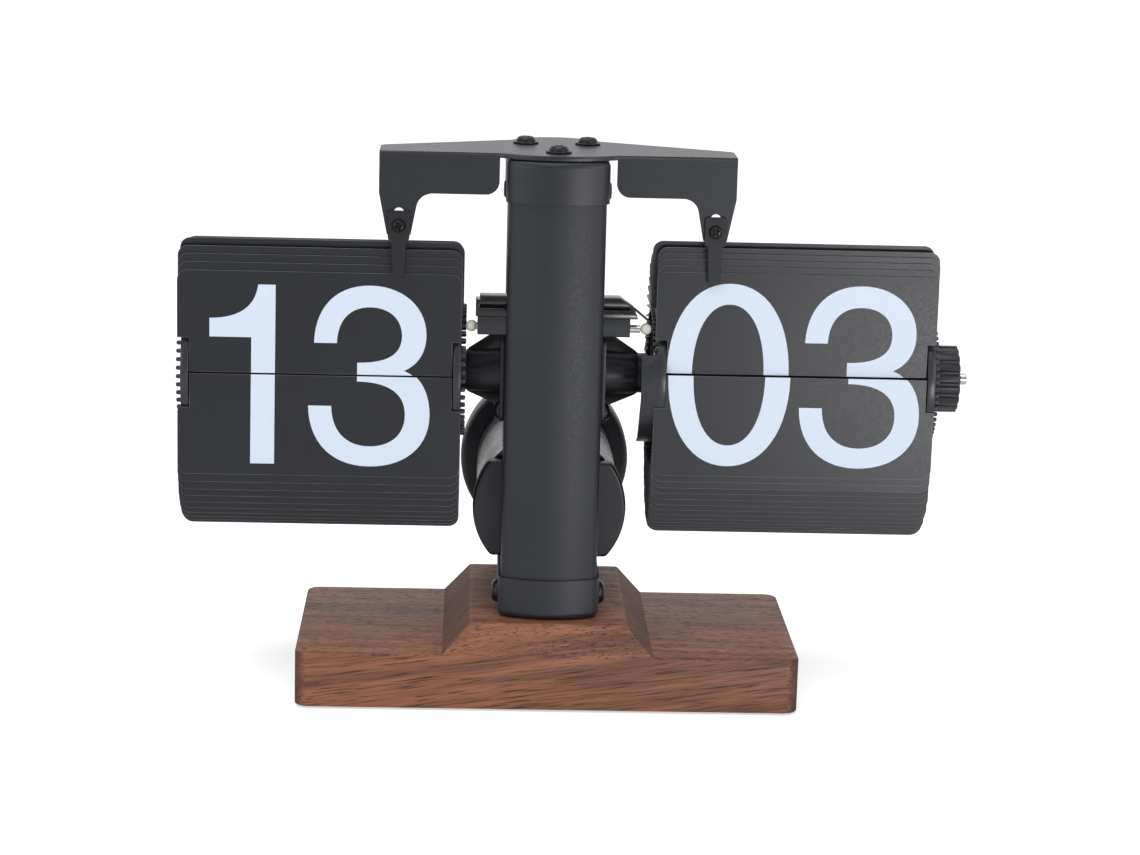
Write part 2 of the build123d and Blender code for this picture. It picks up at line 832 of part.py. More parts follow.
with BuildPart() as minute_inner_wheel:
    add(minute_plain_wheel.part)
    add(carry_ramp.part)
save(minute_inner_wheel, "minute_inner_wheel")


def hub(from_x, to_x, bore):
    """Spacer tube between the two wheels of a drum."""
    with BuildPart() as tube:
        with BuildSketch(drum_plane(from_x)):
            Circle(hub_radius)
            Circle(bore, mode=Mode.SUBTRACT)
        extrude(amount=to_x - from_x)
    return tube


hour_hub = hub(hour_outer_face_x, hour_inner_face_x, running_bore)
save(hour_hub, "hour_hub")

minute_hub = hub(minute_inner_face_x, minute_outer_face_x, fixed_bore)
save(minute_hub, "minute_hub")

# Setting knob: fluted, on a collar against the minute drum's outer wheel
with BuildPart() as setting_knob:
    with BuildSketch(drum_plane(knob_face_x)):
        Circle(knob_radius)
        with PolarLocations(knob_radius, knob_flutes):
            Circle(knob_flute_radius, mode=Mode.SUBTRACT)
    extrude(amount=knob_length)
    with BuildSketch(drum_plane(knob_seat_x)):
        Circle(knob_collar_radius)
    extrude(amount=knob_collar_length)
    with BuildSketch(drum_plane(knob_seat_x)):
        Circle(fixed_bore)
    extrude(amount=knob_collar_length + knob_length, mode=Mode.SUBTRACT)
save(setting_knob, "setting_knob")


def gear(plane, teeth, turn, bore):
    """Spur gear on a plane, straight flanked teeth with backlash, the first at an angle."""
    pitch_radius = gear_module * teeth / 2
    tip_radius = pitch_radius + gear_addendum * gear_module
    root_radius = pitch_radius - gear_dedendum * gear_module
    half_tooth = (pi * gear_module / 2 - gear_backlash) / 2
    lean = tan(radians(gear_flank))
    root_half = half_tooth + (pitch_radius - root_radius) * lean
    tip_half = half_tooth - (tip_radius - pitch_radius) * lean
    with BuildPart() as wheel_gear:
        with BuildSketch(plane):
            Circle(root_radius)
            with BuildSketch(mode=Mode.PRIVATE) as tooth:
                with BuildLine():
                    Polyline(
                        (bore, -root_half),
                        (root_radius, -root_half),
                        (tip_radius, -tip_half),
                        (tip_radius, tip_half),
                        (root_radius, root_half),
                        (bore, root_half),
                        close=True,
                    )
                make_face()
            with PolarLocations(0, teeth, turn):
                add(tooth.sketch)
            Circle(bore, mode=Mode.SUBTRACT)
        extrude(amount=gear_thickness)
    return wheel_gear


# Drive gear on the axle and the motor's pinion above it
gear_x = -gear_thickness / 2
pinion_z = axle_z + gear_module * (drive_teeth + pinion_teeth) / 2
pinion_plane = Plane(origin=(gear_x, axle_y, pinion_z), x_dir=(0, 1, 0), z_dir=(1, 0, 0))
drive_gear = gear(drum_plane(gear_x), drive_teeth, 90, fixed_bore)
save(drive_gear, "drive_gear")

pinion_turn = 180 / pinion_teeth - 90
pinion_bore = motor_shaft_radius + press_clearance
motor_pinion = gear(pinion_plane, pinion_teeth, pinion_turn, pinion_bore)
save(motor_pinion, "motor_pinion")

with BuildPart() as motor_shaft:
    with BuildSketch(pinion_plane.offset(movement_plate_x - gear_x)):
        Circle(motor_shaft_radius)
    extrude(amount=gear_x + gear_thickness - movement_plate_x)
save(motor_shaft, "motor_shaft")

# Movement plate across the column, with a window for the carry gear
movement_top_z = top_cap_bottom_z - seat_clearance
plate_plane = Plane.YZ.offset(movement_plate_x)
with BuildPart() as movement_plate:
    extrude(
        column_section(movement_bottom_z, -column_wall - seat_clearance),
        amount=movement_top_z - movement_bottom_z,
    )
    with BuildSketch(plate_plane):
        with Locations((column_y, (movement_bottom_z + movement_top_z) / 2)):
            Rectangle(column_depth, movement_top_z - movement_bottom_z)
        with Locations((rod_y, (guide_bottom_z + bridge_top_z) / 2)):
            Rectangle(
                guide_depth + 2 * window_clearance,
                bridge_top_z - guide_bottom_z + 2 * window_clearance,
                mode=Mode.SUBTRACT,
            )
        with Locations((axle_y, axle_z)):
            Circle(axle_radius + hole_clearance, mode=Mode.SUBTRACT)
        with Locations((axle_y, pinion_z)):
            Circle(motor_shaft_radius + hole_clearance, mode=Mode.SUBTRACT)
    extrude(amount=movement_plate_thickness, mode=Mode.INTERSECT)
save(movement_plate, "movement_plate")

with BuildPart() as motor:
    with BuildSketch(plate_plane):
        with Locations((axle_y, pinion_z)):
            Circle(motor_radius)
    extrude(amount=-motor_length)
    fillet(faces().sort_by(Axis.X)[0].edges(), motor_round)
save(motor, "motor")

with BuildPart() as circuit_board:
    with BuildSketch(plate_plane.offset(movement_plate_thickness)):
        with Locations((column_y, movement_top_z - board_height / 2 - board_thickness)):
            Rectangle(board_depth, board_height)
    extrude(amount=board_thickness)
save(circuit_board, "circuit_board")


def leaf_margin(split_angle, pitch):
    """Distance from a leaf's pins to its split edge, so that two leaves meet at the split."""
    upper = sin(radians(split_angle + pitch / 2))
    lower = sin(radians(split_angle - pitch / 2))
    return (pin_circle * (upper - lower) - split_gap) / 2


def leaf(margin):
    """One leaf about its pin axis, standing up, notched at both ends to clear the wheels."""
    with BuildPart() as card:
        with BuildSketch(Plane.XZ):
            with Locations((0, leaf_height / 2 - margin)):
                Rectangle(leaf_width, leaf_height)
            fillet(vertices().group_by(Axis.Y)[-1], leaf_corner)
            notch_height = leaf_notch_reach + margin
            for side in (-1, 1):
                with Locations((side * leaf_width / 2, leaf_notch_reach - notch_height / 2)):
                    Rectangle(2 * leaf_notch_width, notch_height, mode=Mode.SUBTRACT)
        extrude(amount=leaf_thickness / 2, both=True)
    return card


def leaf_places(count, split_angle):
    """Pin places and turns of a drum's leaves, from the upper front one back round to below it.

    Leaves near the front stand against the stop finger, the next lean back on each other,
    and from the back round to the front again they hang, each in front of the one below.
    """
    pitch = 360 / count
    spacing = leaf_thickness + leaf_pack_gap
    places = []
    last_y = axle_y + pin_circle
    for index in range(count):
        angle = split_angle + pitch / 2 + index * pitch
        y = axle_y - pin_circle * cos(radians(angle))
        z = axle_z + pin_circle * sin(radians(angle))
        if angle <= upright_limit:
            turn = 0
        elif angle <= 180:
            turn = lean_out - angle
        elif angle <= 180 + lean_fade:
            turn = lean_out * (1 - (angle - 180) / lean_fade) - 180
        else:
            turn = -180
            y = min(y, last_y - spacing)
        last_y = y
        places.append((y, z, turn))
    return places


def leaf_pack(middle_x, count, split_angle):
    """All leaves of a drum but the one that hangs in front, and that one by itself."""
    card = leaf(leaf_margin(split_angle, 360 / count))
    spots = [
        Location((middle_x, y, z), (turn, 0, 0)) for y, z, turn in leaf_places(count, split_angle)
    ]
    with BuildPart() as pack:
        with Locations(*spots[:-1]):
            add(card.part)
    with BuildPart() as front:
        with Locations(spots[-1]):
            add(card.part)
    return pack, front


# Leaves of both drums
hour_middle_x = -hour_inner_x - leaf_width / 2
minute_middle_x = minute_inner_x + leaf_width / 2
hour_leaves, hour_front_leaf = leaf_pack(hour_middle_x, hour_leaf_count, hour_split_angle)
save(hour_leaves, "hour_leaves")
save(hour_front_leaf, "hour_front_leaf")
minute_leaves, minute_front_leaf = leaf_pack(
    minute_middle_x, minute_leaf_count, minute_split_angle
)
save(minute_leaves, "minute_leaves")
save(minute_front_leaf, "minute_front_leaf")
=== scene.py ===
import json
import random
from math import cos, pi, radians, sin

import bmesh
import bpy
from bpy.props import FloatProperty, FloatVectorProperty, IntProperty, PointerProperty
from bpy.types import NodeSocket, Operator, Panel, PropertyGroup
from mathutils import Matrix, Vector


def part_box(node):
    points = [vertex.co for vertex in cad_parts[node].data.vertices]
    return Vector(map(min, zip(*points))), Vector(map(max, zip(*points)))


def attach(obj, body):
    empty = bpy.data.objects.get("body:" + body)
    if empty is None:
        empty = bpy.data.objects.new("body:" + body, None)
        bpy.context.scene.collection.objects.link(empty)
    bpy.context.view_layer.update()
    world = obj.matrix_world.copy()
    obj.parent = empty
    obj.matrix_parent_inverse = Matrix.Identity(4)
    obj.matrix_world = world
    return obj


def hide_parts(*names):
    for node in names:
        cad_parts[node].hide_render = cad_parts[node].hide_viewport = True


bl_info = {
    "name": "Desk flip clock",
    "version": (1, 0, 0),
    "blender": (4, 5, 0),
    "location": "View3D > Sidebar > Flip clock",
    "description": "Finishes, printed leaves and studio for the packed flip clock",
    "category": "Object",
}

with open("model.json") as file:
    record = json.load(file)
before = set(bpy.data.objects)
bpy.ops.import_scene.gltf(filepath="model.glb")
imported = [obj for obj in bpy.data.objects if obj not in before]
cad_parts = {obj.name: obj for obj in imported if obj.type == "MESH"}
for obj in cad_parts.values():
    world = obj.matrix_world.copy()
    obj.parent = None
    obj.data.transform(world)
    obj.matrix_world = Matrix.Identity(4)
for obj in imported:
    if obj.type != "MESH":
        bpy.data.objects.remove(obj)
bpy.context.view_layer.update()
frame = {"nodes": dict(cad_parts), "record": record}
MM = 0.001
# Distances under which two corners are one, and under which a point lies on a face
MERGE = 0.002 * MM
NEAR = 0.05 * MM
# Least part of a normal, or of an edge's length, that lies along an axis
ALONG = 0.9
# Sides of the large round pieces
ROUND = 96


def linear(code):
    """Linear RGB of an sRGB hex colour."""
    values = [int(code[i:i + 2], 16) / 255 for i in (1, 3, 5)]
    return tuple(v / 12.92 if v <= 0.04045 else ((v + 0.055) / 1.055) ** 2.4 for v in values)


def colour(name, description, code):
    """Colour property with its default given as an sRGB hex value."""
    return FloatVectorProperty(
        name=name, description=description, subtype="COLOR", size=3, min=0, max=1, default=linear(code)
    )


def length(name, description, millimetres):
    """Length property with its default given in millimetres."""
    return FloatProperty(
        name=name, description=description, unit="LENGTH", precision=5, default=millimetres * MM
    )


def angle(name, description, degrees):
    """Angle property with its default given in degrees."""
    return FloatProperty(
        name=name, description=description, subtype="ANGLE", unit="ROTATION", default=radians(degrees)
    )


def power(name, description, watts):
    """Power property with its default given in watts."""
    return FloatProperty(name=name, description=description, unit="POWER", default=watts)


def share(name, description, part):
    """Property for a part of a whole."""
    return FloatProperty(name=name, description=description, default=part)


class ClockColours(PropertyGroup):
    """Colours of the visible finishes."""

    walnut_pale: colour("Walnut, pale", "Earlywood of the oiled walnut", "#a66a4c")
    walnut_dark: colour("Walnut, dark", "Latewood lines of the oiled walnut", "#442a21")
    walnut_pore: colour("Walnut, pores", "Open pores of the walnut", "#33221d")
    walnut_end: colour("Walnut, end grain", "End grain of the oiled walnut", "#3f2d2a")
    column: colour("Column", "Matt black paint on the column", "#26282f")
    moulding: colour("Mouldings", "Black moulded caps, arms, barrel and knob", "#23252e")
    bracket: colour("Bracket", "Black powder coat on the bracket", "#20232b")
    leaf: colour("Leaves", "Charcoal sheet of the leaves", "#141721")
    # The pale cut edge is partly the sheet's own whitened cut, partly a painted highlight where the edges
    # catch the light
    leaf_edge: colour("Leaf edges", "Pale cut edge of the leaves", "#74767c")
    number: colour("Numbers", "Printed numbers", "#dce7f7")
    tip: colour("Rod tips", "Natural acetal tips of the push rod", "#dcd3c6")
    floor: colour("Floor", "Studio floor", "#f4f4f4")


class LeafSizes(PropertyGroup):
    """Sizes of the split leaves and their numbers."""

    pin_circle: length("Pin circle", "Radius on which the leaf pins stand", 16.6)
    corner: length("Corner", "Corner radius of a leaf", 2.6)
    notch_width: length("Notch width", "Width of the notch round a wheel", 2.2)
    notch_reach: length("Notch reach", "Reach of the notch past the pins", 7.9)
    left_spare: length("Left spare", "Reach of a leaf past its wheel on the left", 0.8)
    # The border is a pale band along the leaf's faces: a scuffed edge and a painted highlight where the
    # edges catch the light
    border: length("Border", "Width of the scuffed border along a leaf's edge", 0.07)
    leaf_height: length("Leaf height", "Height of a leaf above its pins", 26.2)
    overshoot: length("Overshoot", "Reach of a round number past a straight one", 0.28)
    pack_gap: length("Pack gap", "Air between hanging leaves", 0.1)
    hour_count: IntProperty(name="Hour leaves", description="Leaves of the hour drum", default=48)
    minute_count: IntProperty(name="Minute leaves", description="Leaves of the minute drum", default=60)
    upright_limit: angle("Upright limit", "Turn of the drum up to which leaves stand straight", 44.5)
    lean_out: angle("Lean", "Lean of the leaves over the top", 13.0)
    lean_fade: angle("Lean fade", "Turn over which the lean dies away behind", 24.0)
    number_height: length("Number height", "Height of the numbers", 46.8)
    ink: length("Ink", "Thickness of the printed numbers", 0.03)


class StudioSettings(PropertyGroup):
    """Camera place and light levels."""

    camera_place: FloatVectorProperty(
        name="Camera", description="Place of the camera", subtype="TRANSLATION", unit="LENGTH",
        default=(-22.156 * MM, -756.886 * MM, 230.874 * MM),
    )
    yaw: angle("Yaw", "Turn of the camera to the left", -2.079)
    pitch: angle("Pitch", "Tilt of the camera downwards", 12.111)
    roll: angle("Roll", "Roll of the camera", 1.516)
    sensor: length("Sensor", "Width of the camera's sensor", 36.0)
    focal: length("Focal length", "Focal length on that sensor", 92.684)
    world: share("World light", "Strength of the light from all round", 0.5)
    room: share("Room", "Level of the camera's side of the room in glossy faces", 0.35)
    glow: share("Floor glow", "Light that the floor adds for the camera alone", 0.55)
    above: power("Lamp above", "Power of the lamp above", 5.0)
    right: power("Lamp right", "Power of the lamp on the right", 2.6)
    left: power("Lamp left", "Power of the lamp on the left", 1.25)
    card: power("Card", "Power of the card that shows in glossy faces", 0.36)


def add_node(tree, kind, inputs=(), **settings):
    """Add a shader node with its settings, link or set the inputs named, and return its outputs."""
    node = tree.nodes.new("ShaderNode" + kind)
    for name, value in settings.items():
        setattr(node, name, value)
    for name, value in dict(inputs).items():
        if isinstance(value, NodeSocket):
            tree.links.new(value, node.inputs[name])
        else:
            node.inputs[name].default_value = value
    return node.outputs


def start_material(name, constants):
    """New material with constants set on its shader's own sockets."""
    made = bpy.data.materials.new(name)
    made.use_nodes = True
    tree = made.node_tree
    shader = tree.nodes["Principled BSDF"]
    for socket, value in constants.items():
        shader.inputs[socket].default_value = value
    return made, tree, shader


def link_surface(tree, shader, tones, gloss, relief):
    """Link a pattern's tones, roughness and relief to the shader."""
    for socket, output in (("Base Color", tones), ("Roughness", gloss), ("Normal", relief)):
        tree.links.new(output, shader.inputs[socket])


# Size in millimetres of the slow drift in a finish's tone, and the levels that drift and grit span
CLOUD_MM = 18
BLEND_LOW, BLEND_HIGH = 0.1, 0.42
GRIT_LOW, GRIT_HIGH = 0.3, 0.7
# Way that the grit moves the roughness up and down, and the strength of its relief
GLOSS_SWING = 0.06
RELIEF_STRENGTH = 0.35


def finish(name, tone, shade, roughness, grit_mm, relief_mm, run, constants):
    """Even man-made surface: two close tones, and grit that shows in gloss and relief.

    The grit's size is in millimetres, and run stretches it along an axis, as brushing does.
    """
    made, tree, shader = start_material(name, constants)
    place = add_node(tree, "TexCoord")["Object"]
    scale = [1 / (MM * grit_mm * r) for r in run]
    scaled = add_node(tree, "Mapping", {"Vector": place, "Scale": scale})["Vector"]
    grit = add_node(tree, "TexNoise", {"Vector": scaled, "Scale": 1.0, "Detail": 3.0})["Fac"]
    scale = 1 / (MM * CLOUD_MM)
    cloud = add_node(tree, "TexNoise", {"Vector": place, "Scale": scale, "Detail": 2.0})["Fac"]
    blend = add_node(tree, "Math", {0: grit, 1: cloud}, operation="MULTIPLY")["Value"]
    spread = add_node(
        tree, "MapRange", {"Value": blend, "From Min": BLEND_LOW, "From Max": BLEND_HIGH}
    )["Result"]
    tones = add_node(tree, "Mix", {0: spread, 6: (*shade, 1), 7: (*tone, 1)}, data_type="RGBA")[2]
    gloss = add_node(tree, "MapRange", {
        "Value": grit, "From Min": GRIT_LOW, "From Max": GRIT_HIGH,
        "To Min": roughness - GLOSS_SWING, "To Max": roughness + GLOSS_SWING,
    })["Result"]
    relief = add_node(
        tree, "Bump", {"Height": grit, "Strength": RELIEF_STRENGTH, "Distance": relief_mm * MM}
    )["Normal"]
    link_surface(tree, shader, tones, gloss, relief)
    return made


# Marks in the walnut: run, width and height in millimetres, and the levels of the noise they span
BANDS = (190, 3.6, 5.5, 0.37, 0.6)
STREAKS = (70, 1.3, 1.3, 0.34, 0.64)
FIBRES = (28, 0.4, 0.4, 0.32, 0.68)
PORE_LINES = (14, 0.36, 0.36, 0.55, 0.67)
PORE_DASHES = (1.7, 0.34, 0.34, 0.56, 0.66)
# Parts that the streaks and the fibres have in the bands
STREAK_PART, FIBRE_PART = 0.36, 0.34
# Parts that the pores and the end grain take of the wood's colour
PORE_PART, END_PART = 0.75, 0.75
PORE_DEPTH_MM = 0.04
PORE_RELIEF = 0.4
# Height of a sloping face's normal and its spread, and the run of the end grain's normal along the block
SLOPE, SLOPE_SPREAD = 0.5, 0.3
END_LOW, END_HIGH = 0.2, 0.8
# Roughness of the oiled wood, and of its pores and end grain
OILED_ROUGHNESS, DRY_ROUGHNESS = 0.5, 0.85
# Climb and slant of the grain in degrees: it runs along the block and climbs a little to the right
CLIMB, SLANT = 8, 1.5


def oiled_walnut(colours):
    """Walnut, planed and oiled: soft slanting bands, fine dark pores, end grain darker, a soft sheen."""
    made, tree, shader = start_material("walnut_planed_oiled", {"IOR": 1.47, "Specular IOR Level": 0.48})
    place = add_node(tree, "TexCoord")
    wood = add_node(tree, "Mapping", {
        "Vector": place["Object"], "Scale": [1 / MM] * 3, "Rotation": (0, radians(CLIMB), radians(SLANT)),
    })["Vector"]
    facing = add_node(tree, "SeparateXYZ", {0: place["Normal"]})

    def marks(run, width, height, low, high):
        """Noise drawn out along the grain, spread between two levels."""
        scale = (1 / run, 1 / width, 1 / height)
        grain = add_node(tree, "Mapping", {"Vector": wood, "Scale": scale})["Vector"]
        noise = add_node(
            tree, "TexNoise", {"Vector": grain, "Scale": 1.0, "Detail": 2.0, "Distortion": 0.3}
        )["Fac"]
        return add_node(tree, "MapRange", {"Value": noise, "From Min": low, "From Max": high})["Result"]

    level, streaks, fibres = marks(*BANDS), marks(*STREAKS), marks(*FIBRES)
    for part, finer in ((STREAK_PART, streaks), (FIBRE_PART, fibres)):
        level = add_node(tree, "Mix", {0: part, 2: level, 3: finer})[0]
    growth = add_node(
        tree, "Mix", {0: level, 6: (*colours.walnut_dark, 1), 7: (*colours.walnut_pale, 1)},
        data_type="RGBA",
    )[2]
    # Pores show as long thin lines along the grain, and as short dashes where the block slopes
    lines, dashes = marks(*PORE_LINES), marks(*PORE_DASHES)
    slope = add_node(tree, "Math", {0: facing["Z"], 1: SLOPE, 2: SLOPE_SPREAD}, operation="COMPARE")["Value"]
    pore = add_node(tree, "Mix", {0: slope, 2: lines, 3: dashes})[0]
    open_pore = add_node(tree, "Math", {0: pore, 1: PORE_PART}, operation="MULTIPLY")["Value"]
    wooden = add_node(
        tree, "Mix", {0: open_pore, 6: growth, 7: (*colours.walnut_pore, 1)}, data_type="RGBA"
    )[2]
    # End grain drinks more oil and turns darker
    across = add_node(tree, "Math", {0: facing["X"]}, operation="ABSOLUTE")["Value"]
    ends = add_node(
        tree, "MapRange", {"Value": across, "From Min": END_LOW, "From Max": END_HIGH, "To Max": END_PART}
    )["Result"]
    oiled = add_node(tree, "Mix", {0: ends, 6: wooden, 7: (*colours.walnut_end, 1)}, data_type="RGBA")[2]
    dull = add_node(tree, "Math", {0: pore, 1: ends}, operation="MAXIMUM")["Value"]
    gloss = add_node(
        tree, "MapRange", {"Value": dull, "To Min": OILED_ROUGHNESS, "To Max": DRY_ROUGHNESS}
    )["Result"]
    relief = add_node(
        tree, "Bump", {"Height": pore, "Strength": PORE_RELIEF, "Distance": PORE_DEPTH_MM * MM}, invert=True
    )["Normal"]
    link_surface(tree, shader, oiled, gloss, relief)
    return made


# Grit that is alike in all directions, and the shader of bare metal
EVEN = (1, 1, 1)
METAL = {"Metallic": 1.0}
# Finishes by the record's material slot or by their own name: the material's name, its tone and shade,
# roughness, size of the grit and depth of its relief in millimetres, run of the grit along each axis,
# and constants of the shader. A tone is one of the clock's colours or a hex value.
RECIPES = {
    # Sprayed matt paint: soft wide highlights with a faint orange peel
    "column_paint": (
        "steel_tube_matt_black_paint", "column", "#20222a", 0.5, 0.7, 0.02, EVEN,
        {"IOR": 1.5, "Specular IOR Level": 0.42},
    ),
    # Spark-eroded mould texture: a dull black with a fine even grain
    "black_abs": (
        "abs_moulded_fine_texture", "moulding", "#1c1e26", 0.4, 0.4, 0.02, EVEN,
        {"IOR": 1.53, "Specular IOR Level": 0.42},
    ),
    # The same moulding from a polished part of the tool: it mirrors the pale surroundings softly
    "barrel_gloss": (
        "abs_moulded_polished", "moulding", "#1b1c21", 0.26, 6.0, 0.004, EVEN, {"IOR": 1.53},
    ),
    # Baked powder: a slightly pebbled satin black
    "bracket_coat": (
        "steel_sheet_black_powder_coat", "bracket", "#1b1d25", 0.37, 0.5, 0.03, EVEN, {"IOR": 1.5},
    ),
    # Oxide-blackened strip: deeper and flatter than the coat beside it
    # Black coat on the fingers, flatter than the bracket's and darker: the darker tone is painted shade of
    # the tongues, which on the clock bend back and face a little downwards
    "finger_coat_painted_shade": (
        "steel_strip_black_oxide", "#1a1b1f", "#131418", 0.5, 0.5, 0.01, EVEN, {"IOR": 1.45},
    ),
    # Oil-blackened steel: dark with a dull metal glint
    "black_screw": (
        "steel_black_oxide", "#3a3a3d", "#252528", 0.34, 0.3, 0.01, EVEN, {"Metallic": 0.8},
    ),
    # Zinc plate: bluish bright grey
    "zinc_screw": ("steel_zinc_plated", "#b9bcc0", "#96999e", 0.3, 0.5, 0.01, EVEN, METAL),
    # Injection moulded nylon from a polished tool: deep black and shiny
    "bridge_nylon": (
        "nylon_moulded_gloss_black", "#151517", "#0f0f11", 0.2, 1.2, 0.02, EVEN, {"IOR": 1.53},
    ),
    # Centreless ground rod: bright, with fine rings round it
    "rod_steel": ("steel_ground_rod", "#dcdcdc", "#bdbdbf", 0.22, 0.25, 0.004, (1, 40, 40), METAL),
    # Undyed acetal: milky beige and slightly see-through
    "tip_acetal": (
        "acetal_natural_moulded", "tip", "#d2c9bb", 0.45, 3.0, 0.003, EVEN,
        {"IOR": 1.48, "Subsurface Weight": 0.15},
    ),
    # Nickel-plated spring steel
    "contact_steel": (
        "spring_steel_nickel_plated", "#c9c6bd", "#aaa79f", 0.25, 0.3, 0.005, (30, 1, 1), METAL,
    ),
    # Plain shrink sleeve on the cell, with no print
    "cell_jacket": (
        "cell_shrink_sleeve_plain", "#6d7278", "#565b61", 0.3, 1.0, 0.02, EVEN, {"IOR": 1.55},
    ),
    # Moulded wheels: satin black, a little bluer than the column
    "wheel_plastic": (
        "polystyrene_moulded_satin", "#2b2d33", "#202228", 0.33, 0.5, 0.015, EVEN, {"IOR": 1.55},
    ),
    # Calendered sheet: an even charcoal with a faint tooth
    "leaf_vinyl": (
        "pvc_sheet_charcoal_calendered", "leaf", "#11131c", 0.37, 0.35, 0.008, EVEN, {"IOR": 1.5},
    ),
    # Guillotined edge of the same sheet, also on a thin border of each face: paler partly where the cut
    # whitened it, partly as a painted highlight where the edges catch the light
    "leaf_cut": (
        "pvc_sheet_cut_edge", "leaf_edge", "#3c3e44", 0.55, 0.5, 0.01, (6, 1, 1), {"IOR": 1.53},
    ),
    # Screen-printed ink: cool white, dead flat
    "number_ink": (
        "screen_ink_cool_white", "number", "#d9e5f6", 0.62, 0.3, 0.004, EVEN, {"IOR": 1.5},
    ),
    # Milky white moulded gear
    "gear_acetal": (
        "acetal_white_moulded", "#e4e2dc", "#cfcdc6", 0.4, 0.6, 0.01, EVEN, {"IOR": 1.48},
    ),
    # Turned brass: yellow with fine tool rings
    "pinion_brass": ("brass_turned", "#c9a24d", "#a8853a", 0.25, 0.2, 0.005, (1, 30, 30), METAL),
    # Drawn and plated can
    "motor_can": ("steel_drawn_plated", "#b4b6b8", "#95979a", 0.3, 0.3, 0.006, (40, 1, 1), METAL),
    # Cold rolled strip: grey with rolling lines
    "plate_steel": ("steel_cold_rolled_strip", "#a7a9ac", "#888a8e", 0.36, 0.3, 0.006, (1, 1, 40), METAL),
    # Glass laminate under green mask: a fine woven shimmer
    "board_laminate": (
        "glass_laminate_green_mask", "#1f5a3c", "#17472f", 0.35, 0.5, 0.02, EVEN, {"IOR": 1.55},
    ),
    # Die-cut rubber sheet: dead black and dull
    "foot_rubber": ("rubber_sheet_die_cut", "#222222", "#181818", 0.8, 0.5, 0.03, EVEN, {"IOR": 1.5}),
}
FINISHES = {}


def make_finishes(colours):
    """Make every finish of the clock, the walnut first."""
    FINISHES["walnut"] = oiled_walnut(colours)
    for key, (name, tone, shade, *values) in RECIPES.items():
        tone = linear(tone) if tone.startswith("#") else getattr(colours, tone)
        FINISHES[key] = finish(name, tone, linear(shade), *values)


def tidy(bm):
    """Merge doubles and point all faces outwards."""
    bmesh.ops.remove_doubles(bm, verts=bm.verts, dist=MERGE)
    bmesh.ops.recalc_face_normals(bm, faces=bm.faces)


def as_mesh(bm, name):
    """Mesh of a finished bmesh, which is let go."""
    mesh = bpy.data.meshes.new(name)
    bm.to_mesh(mesh)
    bm.free()
    return mesh


def add_copy(bm, mesh, matrix):
    """Add a copy of a mesh, moved by a matrix."""
    known = len(bm.verts)
    bm.from_mesh(mesh)
    bm.verts.ensure_lookup_table()
    bmesh.ops.transform(bm, matrix=matrix, verts=bm.verts[known:])


def cylinder(bm, radius, depth, segments):
    """Closed cylinder along Z about the origin."""
    return bmesh.ops.create_cone(
        bm, cap_ends=True, segments=segments, radius1=radius, radius2=radius, depth=depth
    )["verts"]


def slice_through(bm, point, normal, **dropped):
    """Cut all of a mesh along a plane, and return what lies in the cut."""
    whole = bm.verts[:] + bm.edges[:] + bm.faces[:]
    return bmesh.ops.bisect_plane(bm, geom=whole, plane_co=point, plane_no=normal, **dropped)["geom_cut"]


def pull_out(bm, faces, way):
    """Extrude faces along a vector, and return the vertices that moved."""
    grown = bmesh.ops.extrude_face_region(bm, geom=faces)["geom"]
    moved = [v for v in grown if isinstance(v, bmesh.types.BMVert)]
    bmesh.ops.translate(bm, vec=way, verts=moved)
    return moved


def inset(bm, faces, width):
    """Give an area of faces a border, and return the border's faces."""
    return bmesh.ops.inset_region(
        bm, faces=faces, thickness=width, use_boundary=True, use_even_offset=True
    )["faces"]


def round_off(bm, geom, width, segments, affect="EDGES", clamp_overlap=False):
    """Round edges or corners with a bevel."""
    bmesh.ops.bevel(
        bm, geom=geom, offset=width, offset_type="OFFSET", affect=affect, segments=segments,
        profile=0.5, material=-1, clamp_overlap=clamp_overlap,
    )


def outward_edges(bm, limit=30):
    """Edges that stand outwards and are sharper than a limit in degrees."""
    return [
        e for e in bm.edges if e.is_manifold and e.is_convex and e.calc_face_angle() > radians(limit)
    ]


# Most that two faces of one flat area are out of line
FLAT_ANGLE = radians(0.5)
# Size of a face that is wide for its rounding, in squares of the rounding's width, and its border's part
WIDE_SQUARES = 400
BORDER_PART = 0.25


def border_flats(bm, least, width):
    """Give the flat areas round faces of a least size a narrow border, which keeps them flat in shade."""
    wide = {f for f in bm.faces if f.calc_area() > least}
    fresh = wide
    while fresh:
        fresh = {
            g for f in fresh for e in f.edges for g in e.link_faces
            if g not in wide and e.is_manifold and e.calc_face_angle() < FLAT_ANGLE
        }
        wide = wide | fresh
    bm.faces.index_update()
    inset(bm, sorted(wide, key=lambda f: f.index), width)


def soften(bm, width, segments=2, limit=30, flats=False):
    """Round the outward edges that are sharper than a limit in degrees.

    With flats, wide faces get a narrow border, which keeps their shading flat.
    """
    round_off(bm, outward_edges(bm, limit), width, segments, clamp_overlap=True)
    if flats:
        border_flats(bm, WIDE_SQUARES * width * width, BORDER_PART * width)


def settle(bm, name, body, slot, nodes=(), finishes=None, smooth=35):
    """Make a finished mesh an object that rides on a body and stands for CAD nodes."""
    mesh = as_mesh(bm, name)
    for key in finishes or [slot]:
        mesh.materials.append(FINISHES[key])
    mesh.shade_smooth()
    mesh.set_sharp_from_angle(angle=radians(smooth))
    piece = bpy.data.objects.new(name, mesh)
    bpy.context.collection.objects.link(piece)
    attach(piece, body)
    if nodes:
        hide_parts(*nodes)


def body_of(node):
    """Body that carries a CAD node."""
    for body, nodes in frame["record"]["behaviour"]["bodies"].items():
        if node in nodes:
            return body
    raise ValueError(node + " is on no body")


def slot_of(node):
    """Material slot of a CAD node."""
    return next(s["material_slot"] for s in frame["record"]["subparts"] if s["node"] == node)


